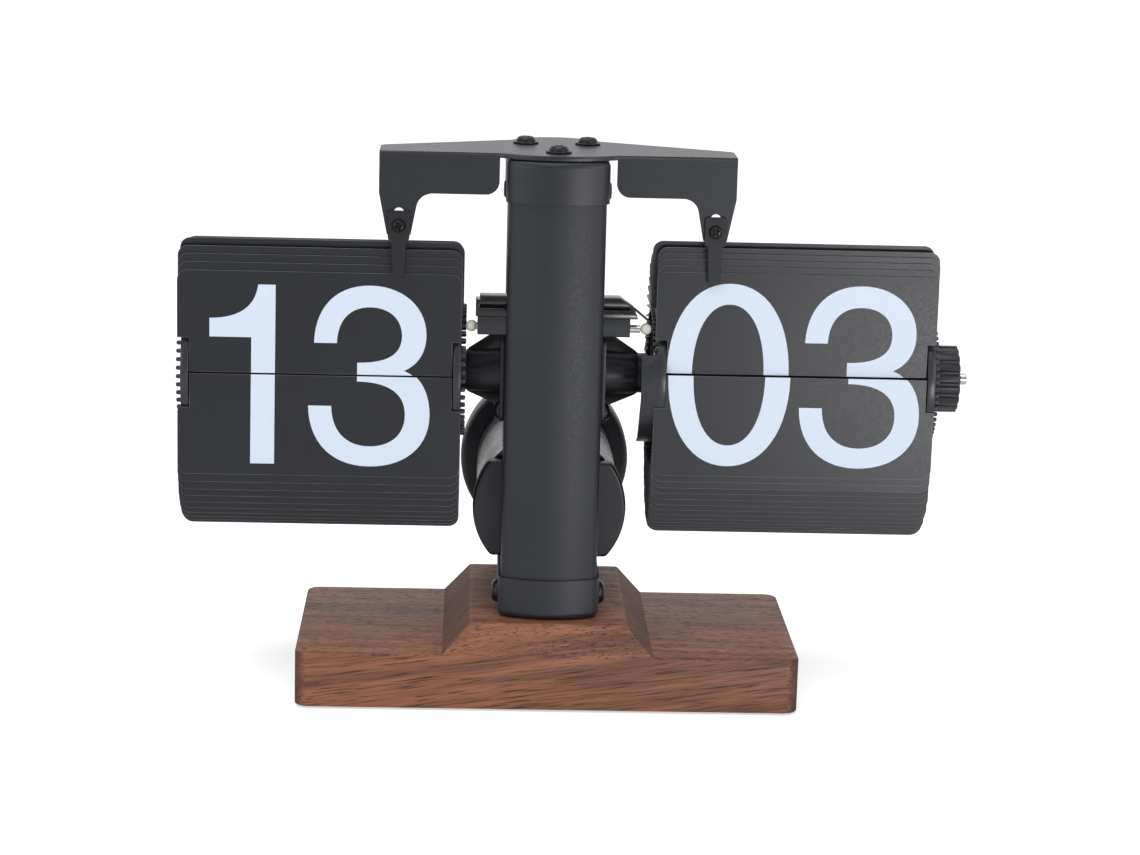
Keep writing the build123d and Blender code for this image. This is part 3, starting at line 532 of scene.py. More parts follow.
def stand_in(bm, name, node, finishes=None, smooth=35):
    """Settle a mesh in the place of a CAD node, on that node's body and slot."""
    settle(bm, name, body_of(node), slot_of(node), [node], finishes, smooth)


def middle_of(node):
    """Middle of a CAD node's box."""
    low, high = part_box(node)
    return (low + high) / 2


def merged_copy(node):
    """Copy of a CAD node's mesh with its triangles joined at their corners."""
    bm = bmesh.new()
    bm.from_mesh(frame["nodes"][node].data)
    bmesh.ops.remove_doubles(bm, verts=bm.verts, dist=MERGE)
    return bm


def solid_copy(node):
    """Copy of a CAD node's mesh with its triangles joined into clean faces."""
    bm = merged_copy(node)
    bmesh.ops.dissolve_limit(bm, angle_limit=radians(1), verts=bm.verts, edges=bm.edges)
    return bm


def islands(node):
    """Boxes of the separate bodies in a CAD node, in order from the left, so each run is the same."""
    bm = merged_copy(node)
    left = set(bm.verts)
    boxes = []
    while left:
        group = [left.pop()]
        for vert in group:
            near = {edge.other_vert(vert) for edge in vert.link_edges} & left
            left -= near
            group += near
        sides = list(zip(*(v.co for v in group)))
        boxes.append((Vector(map(min, sides)), Vector(map(max, sides))))
    bm.free()
    return sorted(boxes, key=lambda box: [round(c / MM) for c in box[0]])


def ease_edges(nodes, width):
    """Replace CAD nodes by copies with eased edges, which catch the light as real ones do."""
    for node in nodes:
        bm = solid_copy(node)
        soften(bm, width)
        stand_in(bm, node + "_eased", node)


class CLOCK_OT_finishes(Operator):
    """Make the finishes and put them on the CAD nodes that stay"""

    bl_idname = "flip_clock.finishes"
    bl_label = "Finishes"

    def execute(self, context):
        make_finishes(context.scene.clock_colours)
        for name, node in frame["nodes"].items():
            for place in node.material_slots:
                place.material = FINISHES[slot_of(name)]
        return {"FINISHED"}


class CLOCK_OT_base(Operator):
    """Walnut block with its raised platform"""

    bl_idname = "flip_clock.base"
    bl_label = "Walnut base"

    block_top: length("Block top", "Height of the flat top", 15.0)
    corner: length("Corner", "Corner radius of the block", 3.5)
    foot_width: length("Platform foot", "Width of the platform where it rises", 54.4)
    top_width: length("Platform top", "Width of the platform's top", 40.6)
    lean: length("Lean", "Lean of the platform's front and back", 2.7)
    ease: length("Ease", "Rounding of the sanded edges", 0.55)

    def execute(self, context):
        low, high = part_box("base")
        size = high - low
        block = Vector((size.x, size.y, self.block_top - low.z))
        bm = bmesh.new()
        bmesh.ops.create_cube(bm, size=1)
        bmesh.ops.scale(bm, vec=block, verts=bm.verts)
        bmesh.ops.translate(bm, vec=(0, 0, low.z + block.z / 2), verts=bm.verts)
        uprights = [e for e in bm.edges if abs(e.verts[0].co.z - e.verts[1].co.z) > block.z / 2]
        round_off(bm, uprights, self.corner, segments=8)
        for side in (-1, 1):
            slice_through(bm, (side * self.foot_width / 2, 0, 0), (1, 0, 0))
        strip = [
            f for f in bm.faces
            if f.normal.z > ALONG and abs(f.calc_center_median().x) < self.foot_width / 2
        ]
        top = pull_out(bm, strip, (0, 0, high.z - self.block_top))
        bmesh.ops.delete(bm, geom=strip, context="FACES_ONLY")
        shrink = (self.top_width / self.foot_width, 1 - 2 * self.lean / size.y, 1)
        bmesh.ops.scale(bm, vec=shrink, verts=top)
        tidy(bm)
        soften(bm, self.ease, segments=3, limit=20)
        stand_in(bm, "walnut_block", "base")
        return {"FINISHED"}


# Part of the bracket's height below which its feet's corners lie, and their least angle
FEET_PART = 0.7
CORNER_ANGLE = radians(45)
# Height of a finger's tip, in ways that it stops short
TIP_WAYS = 3
WHEELS = ("hour_inner_wheel", "hour_outer_wheel", "minute_inner_wheel", "minute_outer_wheel")


class CLOCK_OT_frame_parts(Operator):
    """Bracket, fingers, washers, knob, arms and wheels with eased edges"""

    bl_idname = "flip_clock.frame_parts"
    bl_label = "Eased frame parts"

    sheet_ease: length("Sheet ease", "Deburred edge of the coated sheet", 0.18)
    finger_short: length("Finger short", "Way that the fingers stop short of the solids' ends", 0.5)
    fold: length("Fold", "Outer radius of the bracket's fold", 0.7)
    fold_run: length("Fold run", "Least length of an edge along the fold", 10.0)
    finger_slim: share("Finger slim", "Drawing in of the fingers' heads", 0.86)
    foot_corner: length("Foot corner", "Hollow corner where a foot leaves its flange", 3.2)
    moulded_ease: length("Moulded ease", "Edge radius of the moulded parts", 0.25)
    wheel_ease: length("Wheel ease", "Edge radius of the wheels and pins", 0.22)
    spigot_radius: length("Spigot radius", "Radius of the arms' spigots in the wheels", 5.2)
    spigot_length: length("Spigot length", "Length of the arms' spigots", 2.3)

    def fold_bracket(self):
        """Round the hollow corners of the bracket's feet and its fold."""
        low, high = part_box("top_bracket")
        bm = solid_copy("top_bracket")
        corners = [
            e for e in bm.edges
            if e.is_manifold and not e.is_convex and e.calc_face_angle() > CORNER_ANGLE
            and abs(e.verts[0].co.y - e.verts[1].co.y) > ALONG * e.calc_length()
            and e.verts[0].co.z - low.z < FEET_PART * (high.z - low.z)
        ]
        round_off(bm, corners, self.foot_corner, segments=7)
        fold = [
            e for e in outward_edges(bm)
            if min(v.co.z for v in e.verts) > high.z - NEAR and e.calc_length() > self.fold_run
            and min(f.normal.y for f in e.link_faces) < -ALONG
        ]
        round_off(bm, fold, self.fold, segments=4)
        soften(bm, self.sheet_ease, flats=True)
        stand_in(bm, "top_bracket_folded", "top_bracket")

    def press_finger(self, node):
        """Draw in the head of a finger and shorten its tip."""
        low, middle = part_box(node)[0], middle_of(node)
        bm = solid_copy(node)
        head = [v for v in bm.verts if v.co.z > middle.z]
        slim = (self.finger_slim, 1, 1)
        bmesh.ops.scale(bm, vec=slim, space=Matrix.Translation(-middle), verts=head)
        tip = [v for v in bm.verts if v.co.z < low.z + self.finger_short * TIP_WAYS]
        bmesh.ops.translate(bm, vec=(0, 0, self.finger_short), verts=tip)
        soften(bm, self.sheet_ease, flats=True)
        # The fingers take a darker copy of the black coat, which paints the shade on their tongues
        stand_in(bm, node + "_pressed", node, ["finger_coat_painted_shade"])

    def mould_arm(self, node, hand):
        """Ease an arm and set a spigot on its outer end."""
        axle = middle_of("axle")
        bm = solid_copy(node)
        soften(bm, self.moulded_ease)
        spigot = cylinder(bm, self.spigot_radius, 2 * self.spigot_length, segments=40)
        bmesh.ops.rotate(bm, matrix=Matrix.Rotation(pi / 2, 3, "Y"), verts=spigot)
        end = (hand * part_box("right_arm")[1].x, axle.y, axle.z)
        bmesh.ops.translate(bm, vec=end, verts=spigot)
        stand_in(bm, node + "_moulded", node)

    def execute(self, context):
        self.fold_bracket()
        self.press_finger("right_finger")
        self.press_finger("left_finger")
        ease_edges(["bracket_washers"], self.sheet_ease)
        ease_edges(["setting_knob"], self.moulded_ease)
        self.mould_arm("left_arm", -1)
        self.mould_arm("right_arm", 1)
        ease_edges(WHEELS, self.wheel_ease)
        return {"FINISHED"}


class CLOCK_OT_carry(Operator):
    """Ball tips of the push rod, its guide and the bridge over it"""

    bl_idname = "flip_clock.carry"
    bl_label = "Carry gear"

    tip_radius: length("Tip radius", "Radius of the ball tips", 1.5)
    tip_flat: length("Tip flat", "Place of a tip's flat from its middle", 1.3)
    bulge: length("Guide bulge", "Bulge of the guide's front", 0.5)
    ease: length("Ease", "Edge radius of the mouldings", 0.25)
    blade: length("Blade", "Thickness of the blade from the bridge to the right tip", 0.4)
    blade_width: length("Blade width", "Width of the blade", 2.4)
    blade_inset: length("Blade inset", "Way that the blade starts inside the bridge", 1.3)

    def mould_guide(self):
        """Guide with a bulge along the middle of its front."""
        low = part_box("carry_guide")[0]
        bm = solid_copy("carry_guide")
        cut = slice_through(bm, middle_of("carry_guide"), (0, 0, 1))
        ridge = [v for v in cut if isinstance(v, bmesh.types.BMVert) and v.co.y - low.y < NEAR]
        bmesh.ops.translate(bm, vec=(0, -self.bulge, 0), verts=ridge)
        soften(bm, self.ease, limit=40)
        stand_in(bm, "carry_guide_moulded", "carry_guide", smooth=12)

    def mould_bridge(self):
        """Bridge with a blade that slants down to the right tip."""
        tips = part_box("carry_tips")[1]
        start = middle_of("carry_bridge")
        start.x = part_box("carry_bridge")[1].x - self.blade_inset
        end = Vector((tips.x - self.blade, start.y, tips.z + self.blade))
        bm = solid_copy("carry_bridge")
        soften(bm, self.ease)
        strip = bmesh.ops.create_cube(bm, size=1)["verts"]
        bmesh.ops.scale(bm, vec=((end - start).length, self.blade_width, self.blade), verts=strip)
        turn = (end - start).to_track_quat("X", "Z").to_matrix()
        bmesh.ops.rotate(bm, matrix=turn, verts=strip)
        bmesh.ops.translate(bm, vec=(start + end) / 2, verts=strip)
        stand_in(bm, "carry_bridge_moulded", "carry_bridge")

    def mould_tips(self):
        """Ball tips with a flat on the right."""
        bm = bmesh.new()
        for low, high in islands("carry_tips"):
            ball = bmesh.ops.create_uvsphere(
                bm, u_segments=24, v_segments=16, radius=self.tip_radius
            )["verts"]
            middle = (low + high) / 2
            middle.x = high.x - self.tip_flat
            bmesh.ops.translate(bm, vec=middle, verts=ball)
            edges = list({e for v in ball for e in v.link_edges})
            faces = list({f for v in ball for f in v.link_faces})
            cut = bmesh.ops.bisect_plane(
                bm, geom=ball + edges + faces, plane_co=high, plane_no=(1, 0, 0), clear_outer=True
            )["geom_cut"]
            bmesh.ops.contextual_create(bm, geom=[e for e in cut if isinstance(e, bmesh.types.BMEdge)])
        tidy(bm)
        stand_in(bm, "carry_tips_moulded", "carry_tips")

    def execute(self, context):
        self.mould_guide()
        self.mould_bridge()
        self.mould_tips()
        return {"FINISHED"}


# Steps of a pan head in parts of its radius and height. The last two are the rim and floor of the recess.
PAN_STEPS = ((1, 0), (1, 0.22), (0.9, 0.6), (0.78, 0.84), (0.68, 0.94), (0.6, 0.96), (0.42, 0.3))
# A quarter of the cross recess: tip, tip corner, flank, inner corner, flank, tip corner
CROSS = ((1, 0), (0.97, 0.26), (0.6, 0.26), (0.26, 0.26), (0.26, 0.6), (0.26, 0.97))


def ring(bm, radius, height):
    """Ring of vertices about Z at a height, and its edges."""
    verts = bmesh.ops.create_circle(bm, segments=4 * len(CROSS), radius=radius)["verts"]
    bmesh.ops.translate(bm, vec=(0, 0, height), verts=verts)
    return verts, list({e for v in verts for e in v.link_edges})


def pan_head(radius, height, shank, depth):
    """Mesh of a pan head screw standing on the origin, with a cross recess and a shank below."""
    bm = bmesh.new()
    rings = [ring(bm, shank, -depth), ring(bm, shank, 0)]
    rings += [ring(bm, across * radius, up * height) for across, up in PAN_STEPS]
    for verts, _ in rings[-2:]:
        reach = verts[0].co.xy.length
        for index, vert in enumerate(verts):
            quarter, corner = divmod(index, len(CROSS))
            spot = Matrix.Rotation(quarter * pi / 2, 2) @ Vector(CROSS[corner])
            vert.co.xy = reach * Vector((-spot.y, spot.x))
    for (_, lower), (_, upper) in zip(rings, rings[1:]):
        bmesh.ops.bridge_loops(bm, edges=lower + upper)
    for _, edges in (rings[0], rings[-1]):
        bmesh.ops.contextual_create(bm, geom=edges)
    tidy(bm)
    return as_mesh(bm, "head")


class CLOCK_OT_screws(Operator):
    """Pan head screws with cross recesses on the bracket, the fingers, the caps and the arms"""

    bl_idname = "flip_clock.screws"
    bl_label = "Screws"

    bracket_radius: length("Bracket screw", "Head radius of the bracket's screws", 2.55)
    bracket_height: length("Bracket screw height", "Head height of the bracket's screws", 1.3)
    finger_radius: length("Finger screw", "Head radius of the stop fingers' screws", 1.7)
    finger_height: length("Finger screw height", "Head height of the stop fingers' screws", 1.2)
    foot_radius: length("Bottom cap screw", "Head radius of the bottom cap's side screws", 3.1)
    foot_height: length("Bottom cap screw height", "Head height of the bottom cap's side screws", 1.6)
    side_radius: length("Side screw", "Head radius of the screws of the arms and the top cap", 2.3)
    side_height: length("Side screw height", "Head height of the arms' screws", 1.3)
    top_height: length("Top cap screw height", "Head height of the top cap's side screws", 0.6)
    shank: length("Shank", "Radius of the shanks", 1.0)
    shank_depth: length("Shank depth", "Reach of the shanks below the heads", 1.3)

    def execute(self, context):
        up = Matrix.Identity(4)
        front = Matrix.Rotation(pi / 2, 4, "X")
        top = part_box("bracket_washers")[1].z
        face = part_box("right_finger")[0].y
        cap_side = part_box("bottom_cap")[1].x
        arm_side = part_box("arm_screws")[1].x - (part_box("cap_screws")[1].x - cap_side)
        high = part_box("arm_screws")[1].z
        chance = random.Random("screws")
        for node in ("bracket_screws", "finger_screws", "cap_screws", "arm_screws"):
            bm = bmesh.new()
            for ends in islands(node):
                x, y, z = sum(ends, Vector()) / 2
                hand = 1 if x > 0 else -1
                side = Matrix.Rotation(hand * pi / 2, 4, "Y")
                cap = (self.foot_radius, self.foot_height)
                if z > high:
                    cap = (self.side_radius, self.top_height)
                radius, height, turn, place = {
                    "bracket_screws": (self.bracket_radius, self.bracket_height, up, (x, y, top)),
                    "finger_screws": (self.finger_radius, self.finger_height, front, (x, face, z)),
                    "arm_screws": (self.side_radius, self.side_height, side, (hand * arm_side, y, z)),
                    "cap_screws": (*cap, side, (hand * cap_side, y, z)),
                }[node]
                head = pan_head(radius, height, self.shank, self.shank_depth)
                spin = Matrix.Rotation(chance.uniform(0, pi / 2), 4, "Z")
                add_copy(bm, head, Matrix.Translation(place) @ turn @ spin)
                bpy.data.meshes.remove(head)
            stand_in(bm, node + "_pan_heads", node)
        return {"FINISHED"}


# Part of the twist cap's radius past which its rims lie, and their least angle in degrees
RIM_PART = 0.97
RIM_LIMIT = 60


class CLOCK_OT_barrel(Operator):
    """Battery barrel with its flat sided collar and its round edged twist cap"""

    bl_idname = "flip_clock.barrel"
    bl_label = "Battery barrel"

    collar_radius: length("Collar radius", "Radius of the collar", 20.0)
    collar_above: length("Collar top", "Height of the collar's flat top over the axis", 12.1)
    collar_below: length("Collar foot", "Drop of the collar's flat foot under the axis", 13.1)
    collar_length: length("Collar length", "Length of the collar along the barrel", 5.0)
    collar_ease: length("Collar ease", "Rounding of the collar's edges", 0.8)
    tube_radius: length("Tube radius", "Radius of the tube", 18.9)
    cap_radius: length("Cap radius", "Radius of the twist cap", 23.4)
    cap_ease: length("Cap ease", "Rounding of the twist cap's rims", 1.8)
    flat_face: FloatProperty(
        name="Flat face", description="Least area of the cap's flats that get a border", unit="AREA",
        default=100 * MM * MM,
    )
    border: length("Border", "Width of the border along the cap's flats", 0.1)

    def mould_barrel(self):
        """Tube behind a collar, which is round with an uneven flat above and below."""
        low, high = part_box("battery_barrel")
        bm = bmesh.new()
        bmesh.ops.create_circle(bm, cap_ends=True, segments=ROUND, radius=self.collar_radius)
        for flat, normal in ((-self.collar_above, -1), (self.collar_below, 1)):
            slice_through(bm, (0, flat, 0), (0, normal, 0), clear_outer=True)
        pull_out(bm, bm.faces[:], (0, 0, self.collar_length))
        tidy(bm)
        soften(bm, self.collar_ease, segments=4, flats=True)
        for face in bm.faces:
            face.material_index = 1
        reach = high.y - low.y
        tube = cylinder(bm, self.tube_radius, reach - self.collar_length, segments=ROUND)
        bmesh.ops.translate(bm, vec=(0, 0, (reach + self.collar_length) / 2), verts=tube)
        start = Matrix.Translation((0, low.y, middle_of("battery_cap").z))
        turn = Matrix.Rotation(-pi / 2, 4, "X")
        bmesh.ops.transform(bm, matrix=start @ turn, verts=bm.verts)
        stand_in(bm, "battery_barrel_moulded", "battery_barrel", ["barrel_gloss", "black_abs"])

    def mould_cap(self):
        """Twist cap with rounded rims."""
        low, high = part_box("battery_cap")
        axis = Vector((0, low.y, middle_of("battery_cap").z))
        bm = solid_copy("battery_cap")
        grow = 2 * self.cap_radius / (high.x - low.x)
        bmesh.ops.scale(bm, vec=(grow, 1, grow), space=Matrix.Translation(-axis), verts=bm.verts)
        rims = [
            e for e in outward_edges(bm, RIM_LIMIT)
            if all((v.co - axis).xz.length > RIM_PART * self.cap_radius for v in e.verts)
        ]
        round_off(bm, rims, self.cap_ease, segments=5)
        border_flats(bm, self.flat_face, self.border)
        stand_in(bm, "battery_cap_moulded", "battery_cap")

    def execute(self, context):
        self.mould_barrel()
        self.mould_cap()
        return {"FINISHED"}


# Turn of each drum at which the leaves part, as in the solids
SPLITS = {"hour": radians(3.8), "minute": radians(10.4)}


def pin_places(sizes, drum):
    """Turn about the axle, Y and Z of each of a drum's leaf pins, from the split over the top."""
    axle = middle_of("axle")
    count = getattr(sizes, drum + "_count")
    pitch = 2 * pi / count
    turns = [SPLITS[drum] + pitch / 2 + index * pitch for index in range(count)]
    return [
        (at, axle.y - sizes.pin_circle * cos(at), axle.z + sizes.pin_circle * sin(at)) for at in turns
    ]


def leaf_places(sizes, drum):
    """Pin places and turns of a drum's leaves, by the same rule as the solids."""
    low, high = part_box("hour_front_leaf")
    last = middle_of("axle").y + sizes.pin_circle
    places = []
    for at, y, z in pin_places(sizes, drum):
        if at <= sizes.upright_limit:
            turn = 0
        elif at <= pi:
            turn = sizes.lean_out - at
        elif at <= pi + sizes.lean_fade:
            turn = sizes.lean_out * (1 - (at - pi) / sizes.lean_fade) - pi
        else:
            turn = -pi
            y = min(y, last - (high.y - low.y) - sizes.pack_gap)
        last = y
        places.append((y, z, turn))
    return places


def drum_facts(sizes, drum):
    """Size and middle of a drum's leaves, their reach past the pins, and the leaf places."""
    low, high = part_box(drum + "_front_leaf")
    flip = next(j for j in frame["record"]["behaviour"]["joints"] if j["name"] == drum + "_leaf_flip")
    return high - low, (low.x + high.x) / 2, high.z - flip["pos_m"][2], leaf_places(sizes, drum)


def leaf_card(sizes, size, margin):
    """One leaf standing on its pin axis, notched round the wheels, with a pale cut edge and a pale border on
    its faces, partly a painted highlight.
    """
    bm = bmesh.new()
    bmesh.ops.create_grid(bm, x_segments=1, y_segments=1, size=0.5)
    bmesh.ops.scale(bm, vec=(size.x + sizes.left_spare, size.z, 1), verts=bm.verts)
    bmesh.ops.rotate(bm, matrix=Matrix.Rotation(pi / 2, 3, "X"), verts=bm.verts)
    bmesh.ops.translate(bm, vec=(-sizes.left_spare / 2, 0, size.z / 2 - margin), verts=bm.verts)
    corners = [v for v in bm.verts if v.co.z > 0]
    round_off(bm, corners, sizes.corner, segments=6, affect="VERTICES")
    inner = size.x / 2 - sizes.notch_width
    for side in (-1, 1):
        slice_through(bm, (side * inner, 0, 0), (1, 0, 0))
    slice_through(bm, (0, 0, sizes.notch_reach), (0, 0, 1))
    notches = [
        f for f in bm.faces
        if abs(f.calc_center_median().x) > inner and f.calc_center_median().z < sizes.notch_reach
    ]
    bmesh.ops.delete(bm, geom=notches, context="FACES")
    pull_out(bm, bm.faces[:], (0, size.y, 0))
    bmesh.ops.translate(bm, vec=(0, -size.y / 2, 0), verts=bm.verts)
    tidy(bm)
    # The cut edges and a thin border on both faces take the pale edge finish: partly the whitened cut,
    # partly a painted highlight
    rims = [f for f in bm.faces if abs(f.normal.y) < ALONG]
    for side in (-1, 1):
        rims += inset(bm, [f for f in bm.faces if side * f.normal.y > ALONG], sizes.border)
    for face in rims:
        face.material_index = 1
    return as_mesh(bm, "card")


class CLOCK_OT_pins(Operator):
    """Round ended heads of the leaf pins on both sides of each drum"""

    bl_idname = "flip_clock.pins"
    bl_label = "Pin heads"

    radius: length("Radius", "Radius of a pin head", 0.58)
    reach: length("Reach", "Reach of a pin head", 1.25)
    blunt: share("Blunt", "Part of the radius that rounds a pin head's end", 0.7)

    def execute(self, context):
        sizes = context.scene.leaf_sizes
        bm = bmesh.new()
        cylinder(bm, self.radius, self.reach, segments=10)
        rim = [e for e in bm.edges if all(v.co.z > 0 for v in e.verts)]
        round_off(bm, rim, self.blunt * self.radius, segments=3)
        bmesh.ops.translate(bm, vec=(0, 0, self.reach / 2), verts=bm.verts)
        pin = as_mesh(bm, "pin")
        for drum in ("hour", "minute"):
            low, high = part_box(drum + "_front_leaf")
            heads = bmesh.new()
            for _, y, z in pin_places(sizes, drum):
                for x, hand in ((low.x, -1), (high.x, 1)):
                    spot = Matrix.Translation((x, y, z))
                    add_copy(heads, pin, spot @ Matrix.Rotation(hand * pi / 2, 4, "Y"))
            settle(heads, drum + "_pin_heads", body_of(drum + "_inner_wheel"), "wheel_plastic")
        bpy.data.meshes.remove(pin)
        return {"FINISHED"}


# Millimetres that the last standing leaf of each drum has slid along its pins
REAR_SLIDES = {"hour": 0.5, "minute": -1.3}
# Leaves that hang straight at the front of a pack, the one that flips among them
FRONT_LEAVES = 3
LEAF_FINISHES = ["leaf_vinyl", "leaf_cut"]


class CLOCK_OT_leaves(Operator):
    """Both packs of split leaves, each leaf a little out of line, and the two that flip"""

    bl_idname = "flip_clock.leaves"
    bl_label = "Leaves"

    sway: angle("Sway", "Most that a leaf stands out of line", 0.35)
    shift: length("Shift", "Most that a leaf sits to one side", 0.12)
    hang: angle("Hang", "Lean of the hanging leaves behind the first three", 2.0)
    touch: length("Touch", "Way between the tops of the standing leaves, which lean on the finger", 0.27)

    def execute(self, context):
        sizes = context.scene.leaf_sizes
        for drum in ("hour", "minute"):
            size, middle, margin, places = drum_facts(sizes, drum)
            card = leaf_card(sizes, size, margin)
            chance = random.Random(drum)
            rear = sum(turn == 0 for _, _, turn in places) - 1
            pack = bmesh.new()
            for index, (y, z, turn) in enumerate(places[:-1]):
                shift = chance.uniform(-self.shift, self.shift)
                if turn == 0:
                    lean = max(0, y - places[0][0] - index * self.touch) / sizes.leaf_height
                elif turn == -pi and index < len(places) - FRONT_LEAVES:
                    lean = self.hang
                else:
                    lean = chance.uniform(-self.sway, self.sway)
                if index == rear:
                    lean = lean / 2
                    shift = REAR_SLIDES[drum] * MM
                spot = Matrix.Translation((middle + shift, y, z))
                add_copy(pack, card, spot @ Matrix.Rotation(turn + lean, 4, "X"))
            stand_in(pack, drum + "_leaf_pack", drum + "_leaves", LEAF_FINISHES)
            front = bmesh.new()
            spot = Matrix.Translation((middle, *places[-1][:2]))
            add_copy(front, card, spot @ Matrix.Rotation(pi, 4, "X"))
            stand_in(front, drum + "_leaf_in_front", drum + "_front_leaf", LEAF_FINISHES)
            bpy.data.meshes.remove(card)
        return {"FINISHED"}


# Outlines of the numbers in millimetres, drawn on one height. Each closed line is a list of corner
# points and of curves, which give two handles and an end.
DRAWN_HEIGHT = 46.8
CURVE_STEPS = 14
NUMBERS = {
    "0": [
        [(15.35, 46.8), (24.6, 46.8, 31.0, 37.8, 31.0, 23.4), (31.0, 9.0, 24.6, 0, 15.35, 0),
         (6.1, 0, -0.3, 9.0, -0.3, 23.4), (-0.3, 37.8, 6.1, 46.8, 15.35, 46.8)],
        [(15.35, 41.5), (9.9, 41.5, 6.15, 34.6, 6.15, 23.4), (6.15, 12.2, 9.9, 5.4, 15.35, 5.4),
         (20.8, 5.4, 24.55, 12.2, 24.55, 23.4), (24.55, 34.6, 20.8, 41.5, 15.35, 41.5)],
    ],
    "1": [
        [(0, 38.0), (7.0, 38.0, 11.6, 40.8, 12.3, 46.8), (16.7, 46.8), (16.5, 0), (10.4, 0), (10.6, 33.2),
         (0, 33.2)],
    ],
    "2": [
        [(0.9, 30.6), (1.2, 40.6, 7.0, 46.8, 15.6, 46.8), (24.4, 46.8, 30.4, 41.4, 30.4, 33.4),
         (30.4, 24.6, 24.0, 21.0, 18.0, 17.0), (12.6, 13.4, 8.8, 10.2, 7.6, 5.6), (30.4, 5.6),
         (30.4, 0), (0, 0), (0.2, 10.4, 5.6, 15.6, 13.2, 20.6), (19.6, 24.8, 23.9, 27.2, 23.9, 33.2),
         (23.9, 38.2, 20.4, 41.4, 15.4, 41.4), (10.0, 41.4, 7.2, 37.2, 7.1, 30.6)],
    ],
    "3": [
        [(1.4, 32.0), (1.6, 41.5, 7.3, 46.8, 15.6, 46.8), (24.0, 46.8, 29.9, 41.5, 29.9, 34.3),
         (29.9, 29.9, 27.8, 26.8, 24.3, 25.2), (28.6, 23.7, 31.0, 19.2, 31.0, 13.4),
         (31.0, 5.3, 24.8, 0, 15.6, 0), (6.3, 0, 0.2, 5.7, 0, 15.5), (5.9, 15.5),
         (6.0, 9.0, 9.7, 5.2, 15.6, 5.2), (21.3, 5.2, 24.7, 8.5, 24.7, 13.4),
         (24.7, 19.1, 20.4, 21.9, 12.4, 21.9), (12.4, 27.1), (20.2, 27.1, 23.7, 29.5, 23.7, 34.0),
         (23.7, 38.4, 20.6, 41.3, 15.6, 41.3), (10.3, 41.3, 7.3, 37.7, 7.2, 32.0)],
    ],
}
# Numbers whose curves reach past the straight ones
ROUND_NUMBERS = "03"
# Left edge of each figure from the middle of its leaf, in millimetres
FIGURE_PLACES = {"hour": (-28.3, -3.2), "minute": (-32.7, 0.8)}
# Millimetres, across and up, that the print of each drum's upper half is out of line
PRINT_OFFSETS = {"hour": (0, -0.45), "minute": (-0.4, 0)}
# The time shown and the one before it
TIMES = {"hour": ("13", "12"), "minute": ("03", "02")}


def figure(sizes, digit):
    """Flat mesh of one number, filled inside its outline, with its left foot on the origin."""
    curve = bpy.data.curves.new("figure", "CURVE")
    curve.dimensions = "2D"
    curve.fill_mode = "BOTH"
    curve.resolution_u = CURVE_STEPS
    wide = sizes.number_height / DRAWN_HEIGHT
    spare = sizes.overshoot if digit in ROUND_NUMBERS else 0
    tall = wide * (1 + 2 * spare / sizes.number_height)

    def spot(x, y):
        """Place on the leaf of a point of the drawing."""
        return x * wide, y * tall - spare, 0

    for outline in NUMBERS[digit]:
        spline = curve.splines.new("BEZIER")
        closed = outline[-1][-2:] == outline[0]
        spline.bezier_points.add(len(outline) - (2 if closed else 1))
        spline.use_cyclic_u = True
        points = spline.bezier_points
        for point, step in zip(points, outline):
            point.handle_left_type = point.handle_right_type = "FREE"
            point.co = point.handle_left = point.handle_right = spot(*step[-2:])
        for index, step in enumerate(outline):
            if len(step) == 6:
                points[index - 1].handle_right = spot(*step[:2])
                points[index % len(points)].handle_left = spot(*step[2:4])
    holder = bpy.data.objects.new("figure", curve)
    bpy.context.collection.objects.link(holder)
    flat = bpy.data.meshes.new_from_object(holder.evaluated_get(bpy.context.evaluated_depsgraph_get()))
    bpy.data.objects.remove(holder)
    bpy.data.curves.remove(curve)
    flat.transform(Matrix.Rotation(pi / 2, 4, "X"))
    return flat


def printed_half(sizes, drum, digits, cut, upper, split_height, offset):
    """Half of a two-figure number about its pin axis, with the thickness of the ink.

    The whole number is centred on the split, split_height from the pins, but for the offset of
    its print across and up, and only the part above or below cut is kept.
    """
    bm = bmesh.new()
    low = split_height - sizes.number_height / 2
    for digit, left in zip(digits, FIGURE_PLACES[drum]):
        flat = figure(sizes, digit)
        add_copy(bm, flat, Matrix.Translation(((left + offset[0]) * MM, 0, low + offset[1] * MM)))
        bpy.data.meshes.remove(flat)
    bmesh.ops.remove_doubles(bm, verts=bm.verts, dist=MERGE)
    slice_through(bm, (0, 0, cut), (0, 0, 1), clear_inner=upper, clear_outer=not upper)
    pull_out(bm, bm.faces[:], (0, -sizes.ink, 0))
    tidy(bm)
    return bm


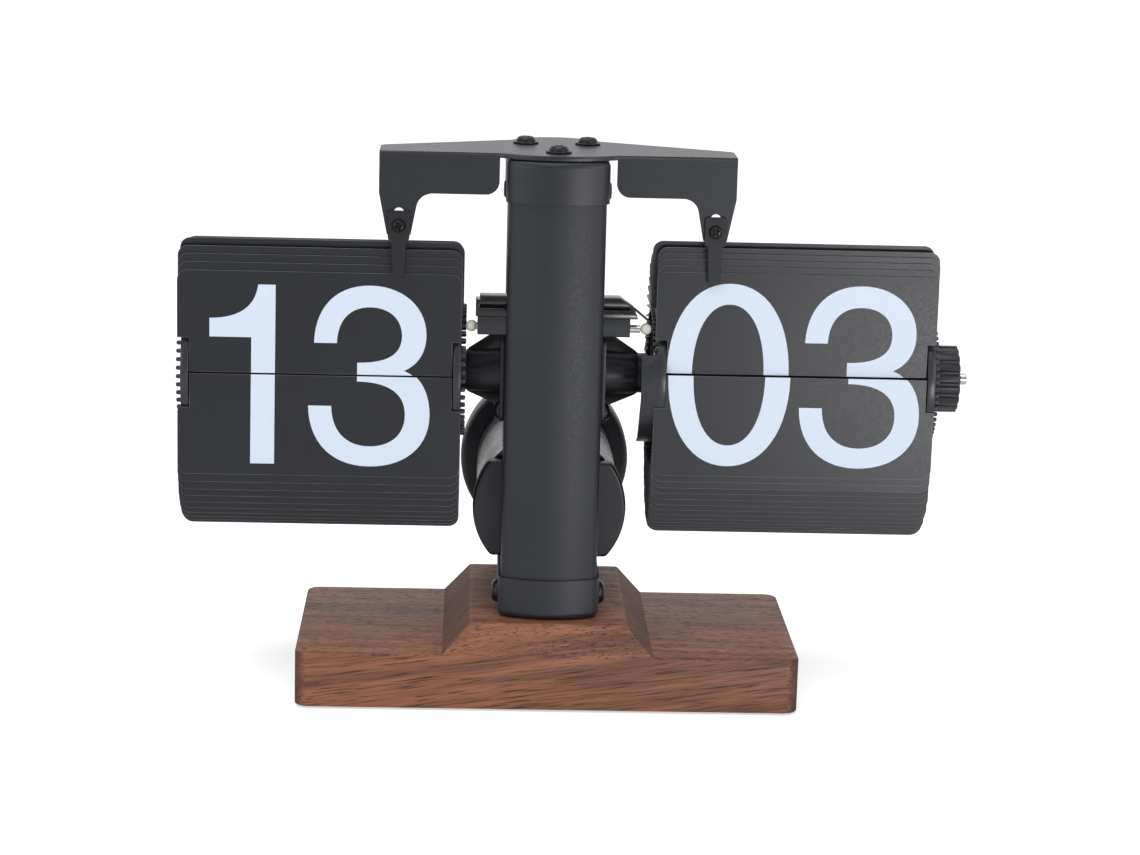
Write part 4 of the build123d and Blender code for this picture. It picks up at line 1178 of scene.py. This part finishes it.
class CLOCK_OT_numbers(Operator):
    """Printed numbers: this time in front, the time before on the leaves behind"""

    bl_idname = "flip_clock.numbers"
    bl_label = "Numbers"

    def execute(self, context):
        sizes = context.scene.leaf_sizes
        for drum in ("hour", "minute"):
            size, middle, margin, places = drum_facts(sizes, drum)
            now, before = TIMES[drum]
            gap = places[0][1] - places[-1][1]
            spots = (
                ("now_upper", now, True, places[0], "frame", 0),
                ("now_lower", now, False, places[-1], drum + "_front_leaf", 0),
                ("before_lower", before, False, places[-2], "frame", 0),
                ("before_upper", before, True, places[-1], drum + "_front_leaf", pi),
            )
            for name, digits, upper, (y, z, _), body, flip in spots:
                cut = -margin if upper else margin
                split_height = -gap / 2 if upper else gap / 2
                offset = PRINT_OFFSETS[drum] if name == "now_upper" else (0, 0)
                bm = printed_half(sizes, drum, digits, cut, upper, split_height, offset)
                bmesh.ops.translate(bm, vec=(0, -size.y / 2, 0), verts=bm.verts)
                spot = Matrix.Translation((middle, y, z))
                bmesh.ops.transform(bm, matrix=spot @ Matrix.Rotation(flip, 4, "X"), verts=bm.verts)
                settle(bm, drum + "_number_" + name, body, "leaf_vinyl", (), ["number_ink"])
        return {"FINISHED"}


WHITE = (1, 1, 1, 1)
# Half of the floor's width in metres
FLOOR_REACH = 3
# Depths at which the dim room begins to brighten and at which the white backdrop is reached
DIM_DEPTH, BRIGHT_DEPTH = -0.5, 0.3
# Name, power, place, width and height of each lamp, in metres, and the point they face
LAMPS = (
    ("lamp_above", "above", (-0.1, -0.25, 1.1), 0.9, 0.9),
    ("lamp_right", "right", (0.75, -0.75, 0.45), 0.6, 0.6),
    ("lamp_left", "left", (-0.6, -0.6, 0.3), 0.4, 0.4),
    ("card_right", "card", (0.185, -0.34, 0.03), 0.14, 0.055),
)
LAMP_AIM = Vector((0, 0, 80 * MM))
# Start of the camera's view in metres
NEAREST = 0.05


def lay_floor(scene):
    """Pale floor that keeps the clock's shadow and is white to the camera."""
    bm = bmesh.new()
    bmesh.ops.create_grid(bm, x_segments=1, y_segments=1, size=FLOOR_REACH)
    mesh = as_mesh(bm, "floor")
    floor = bpy.data.objects.new("floor", mesh)
    scene.collection.objects.link(floor)
    paper, tree, shader = start_material("paper_sweep_white", {
        "Roughness": 0.9, "Base Color": (*scene.clock_colours.floor, 1), "Emission Color": WHITE,
    })
    seen = add_node(tree, "LightPath")["Is Camera Ray"]
    glow = add_node(tree, "Math", {0: seen, 1: scene.studio.glow}, operation="MULTIPLY")["Value"]
    tree.links.new(glow, shader.inputs["Emission Strength"])
    mesh.materials.append(paper)


def light_room(scene):
    """World that lights evenly, with a white backdrop behind and a dimmer room on the camera's side."""
    world = bpy.data.worlds.new("white_room")
    world.use_nodes = True
    scene.world = world
    tree = world.node_tree
    lit = tree.nodes["Background"]
    lit.inputs["Color"].default_value = WHITE
    lit.inputs["Strength"].default_value = scene.studio.world
    way = add_node(tree, "TexCoord")["Generated"]
    depth = add_node(tree, "SeparateXYZ", {0: way})["Y"]
    level = add_node(tree, "MapRange", {
        "Value": depth, "From Min": DIM_DEPTH, "From Max": BRIGHT_DEPTH, "To Min": scene.studio.room,
    })["Result"]
    seen = add_node(tree, "LightPath")
    level = add_node(tree, "Math", {0: level, 1: seen["Is Camera Ray"]}, operation="MAXIMUM")["Value"]
    white = add_node(tree, "Background", {"Color": WHITE, "Strength": level})["Background"]
    shown = seen["Is Camera Ray"]
    for ray in ("Is Glossy Ray", "Is Transmission Ray"):
        shown = add_node(tree, "Math", {0: shown, 1: seen[ray]}, operation="MAXIMUM")["Value"]
    mixed = add_node(tree, "MixShader", {0: shown, 1: lit.outputs["Background"], 2: white})["Shader"]
    tree.links.new(mixed, tree.nodes["World Output"].inputs["Surface"])


def hang_lamps(scene):
    """Soft lamps, and a card that shows only in glossy faces."""
    for name, key, place, width, height in LAMPS:
        lamp = bpy.data.lights.new(name, "AREA")
        lamp.shape = "RECTANGLE"
        lamp.size = width
        lamp.size_y = height
        lamp.energy = getattr(scene.studio, key)
        holder = bpy.data.objects.new(name, lamp)
        holder.location = place
        holder.rotation_euler = (Vector(place) - LAMP_AIM).to_track_quat("Z", "Y").to_euler()
        holder.visible_diffuse = key != "card"
        scene.collection.objects.link(holder)


def place_camera(scene):
    """Camera at the photograph's viewing angle."""
    studio = scene.studio
    right = Vector((cos(studio.yaw), sin(studio.yaw), 0))
    level = Vector((-sin(studio.yaw), cos(studio.yaw), 0))
    up = Vector((0, 0, 1))
    ahead = level * cos(studio.pitch) - up * sin(studio.pitch)
    head = level * sin(studio.pitch) + up * cos(studio.pitch)
    across = right * cos(studio.roll) + head * sin(studio.roll)
    upward = head * cos(studio.roll) - right * sin(studio.roll)
    lens = bpy.data.cameras.new("camera")
    lens.sensor_fit = "HORIZONTAL"
    lens.sensor_width = studio.sensor / MM
    lens.lens = studio.focal / MM
    lens.clip_start = NEAREST
    camera = bpy.data.objects.new("camera", lens)
    turn = Matrix((across, upward, -ahead)).transposed().to_4x4()
    camera.matrix_world = Matrix.Translation(studio.camera_place) @ turn
    scene.collection.objects.link(camera)
    scene.camera = camera


class CLOCK_OT_stage(Operator):
    """Pale floor, soft lamps, white surroundings and the camera"""

    bl_idname = "flip_clock.stage"
    bl_label = "Studio"

    def execute(self, context):
        scene = context.scene
        scene.view_settings.view_transform = "Standard"
        lay_floor(scene)
        light_room(scene)
        hang_lamps(scene)
        place_camera(scene)
        return {"FINISHED"}


STEPS = (
    CLOCK_OT_stage, CLOCK_OT_finishes, CLOCK_OT_base, CLOCK_OT_frame_parts, CLOCK_OT_screws,
    CLOCK_OT_barrel, CLOCK_OT_carry, CLOCK_OT_pins, CLOCK_OT_leaves, CLOCK_OT_numbers,
)


class CLOCK_PT_sidebar(Panel):
    """Steps and settings of the flip clock"""

    bl_idname = "CLOCK_PT_sidebar"
    bl_label = "Flip clock"
    bl_space_type = "VIEW_3D"
    bl_region_type = "UI"
    bl_category = "Flip clock"

    def draw(self, context):
        for step in STEPS:
            self.layout.operator(step.bl_idname)
        for group in (context.scene.clock_colours, context.scene.leaf_sizes, context.scene.studio):
            box = self.layout.box()
            for name in group.__annotations__:
                box.prop(group, name)


CLASSES = (ClockColours, LeafSizes, StudioSettings, *STEPS, CLOCK_PT_sidebar)


def register():
    for each in CLASSES:
        bpy.utils.register_class(each)
    bpy.types.Scene.clock_colours = PointerProperty(type=ClockColours)
    bpy.types.Scene.leaf_sizes = PointerProperty(type=LeafSizes)
    bpy.types.Scene.studio = PointerProperty(type=StudioSettings)


def unregister():
    del bpy.types.Scene.studio
    del bpy.types.Scene.leaf_sizes
    del bpy.types.Scene.clock_colours
    for each in reversed(CLASSES):
        bpy.utils.unregister_class(each)


def main():
    register()
    bpy.ops.flip_clock.stage()
    bpy.ops.flip_clock.finishes()
    bpy.ops.flip_clock.base()
    bpy.ops.flip_clock.frame_parts()
    bpy.ops.flip_clock.screws()
    bpy.ops.flip_clock.barrel()
    bpy.ops.flip_clock.carry()
    bpy.ops.flip_clock.pins()
    bpy.ops.flip_clock.leaves()
    bpy.ops.flip_clock.numbers()


if __name__ == "__main__":
    main()
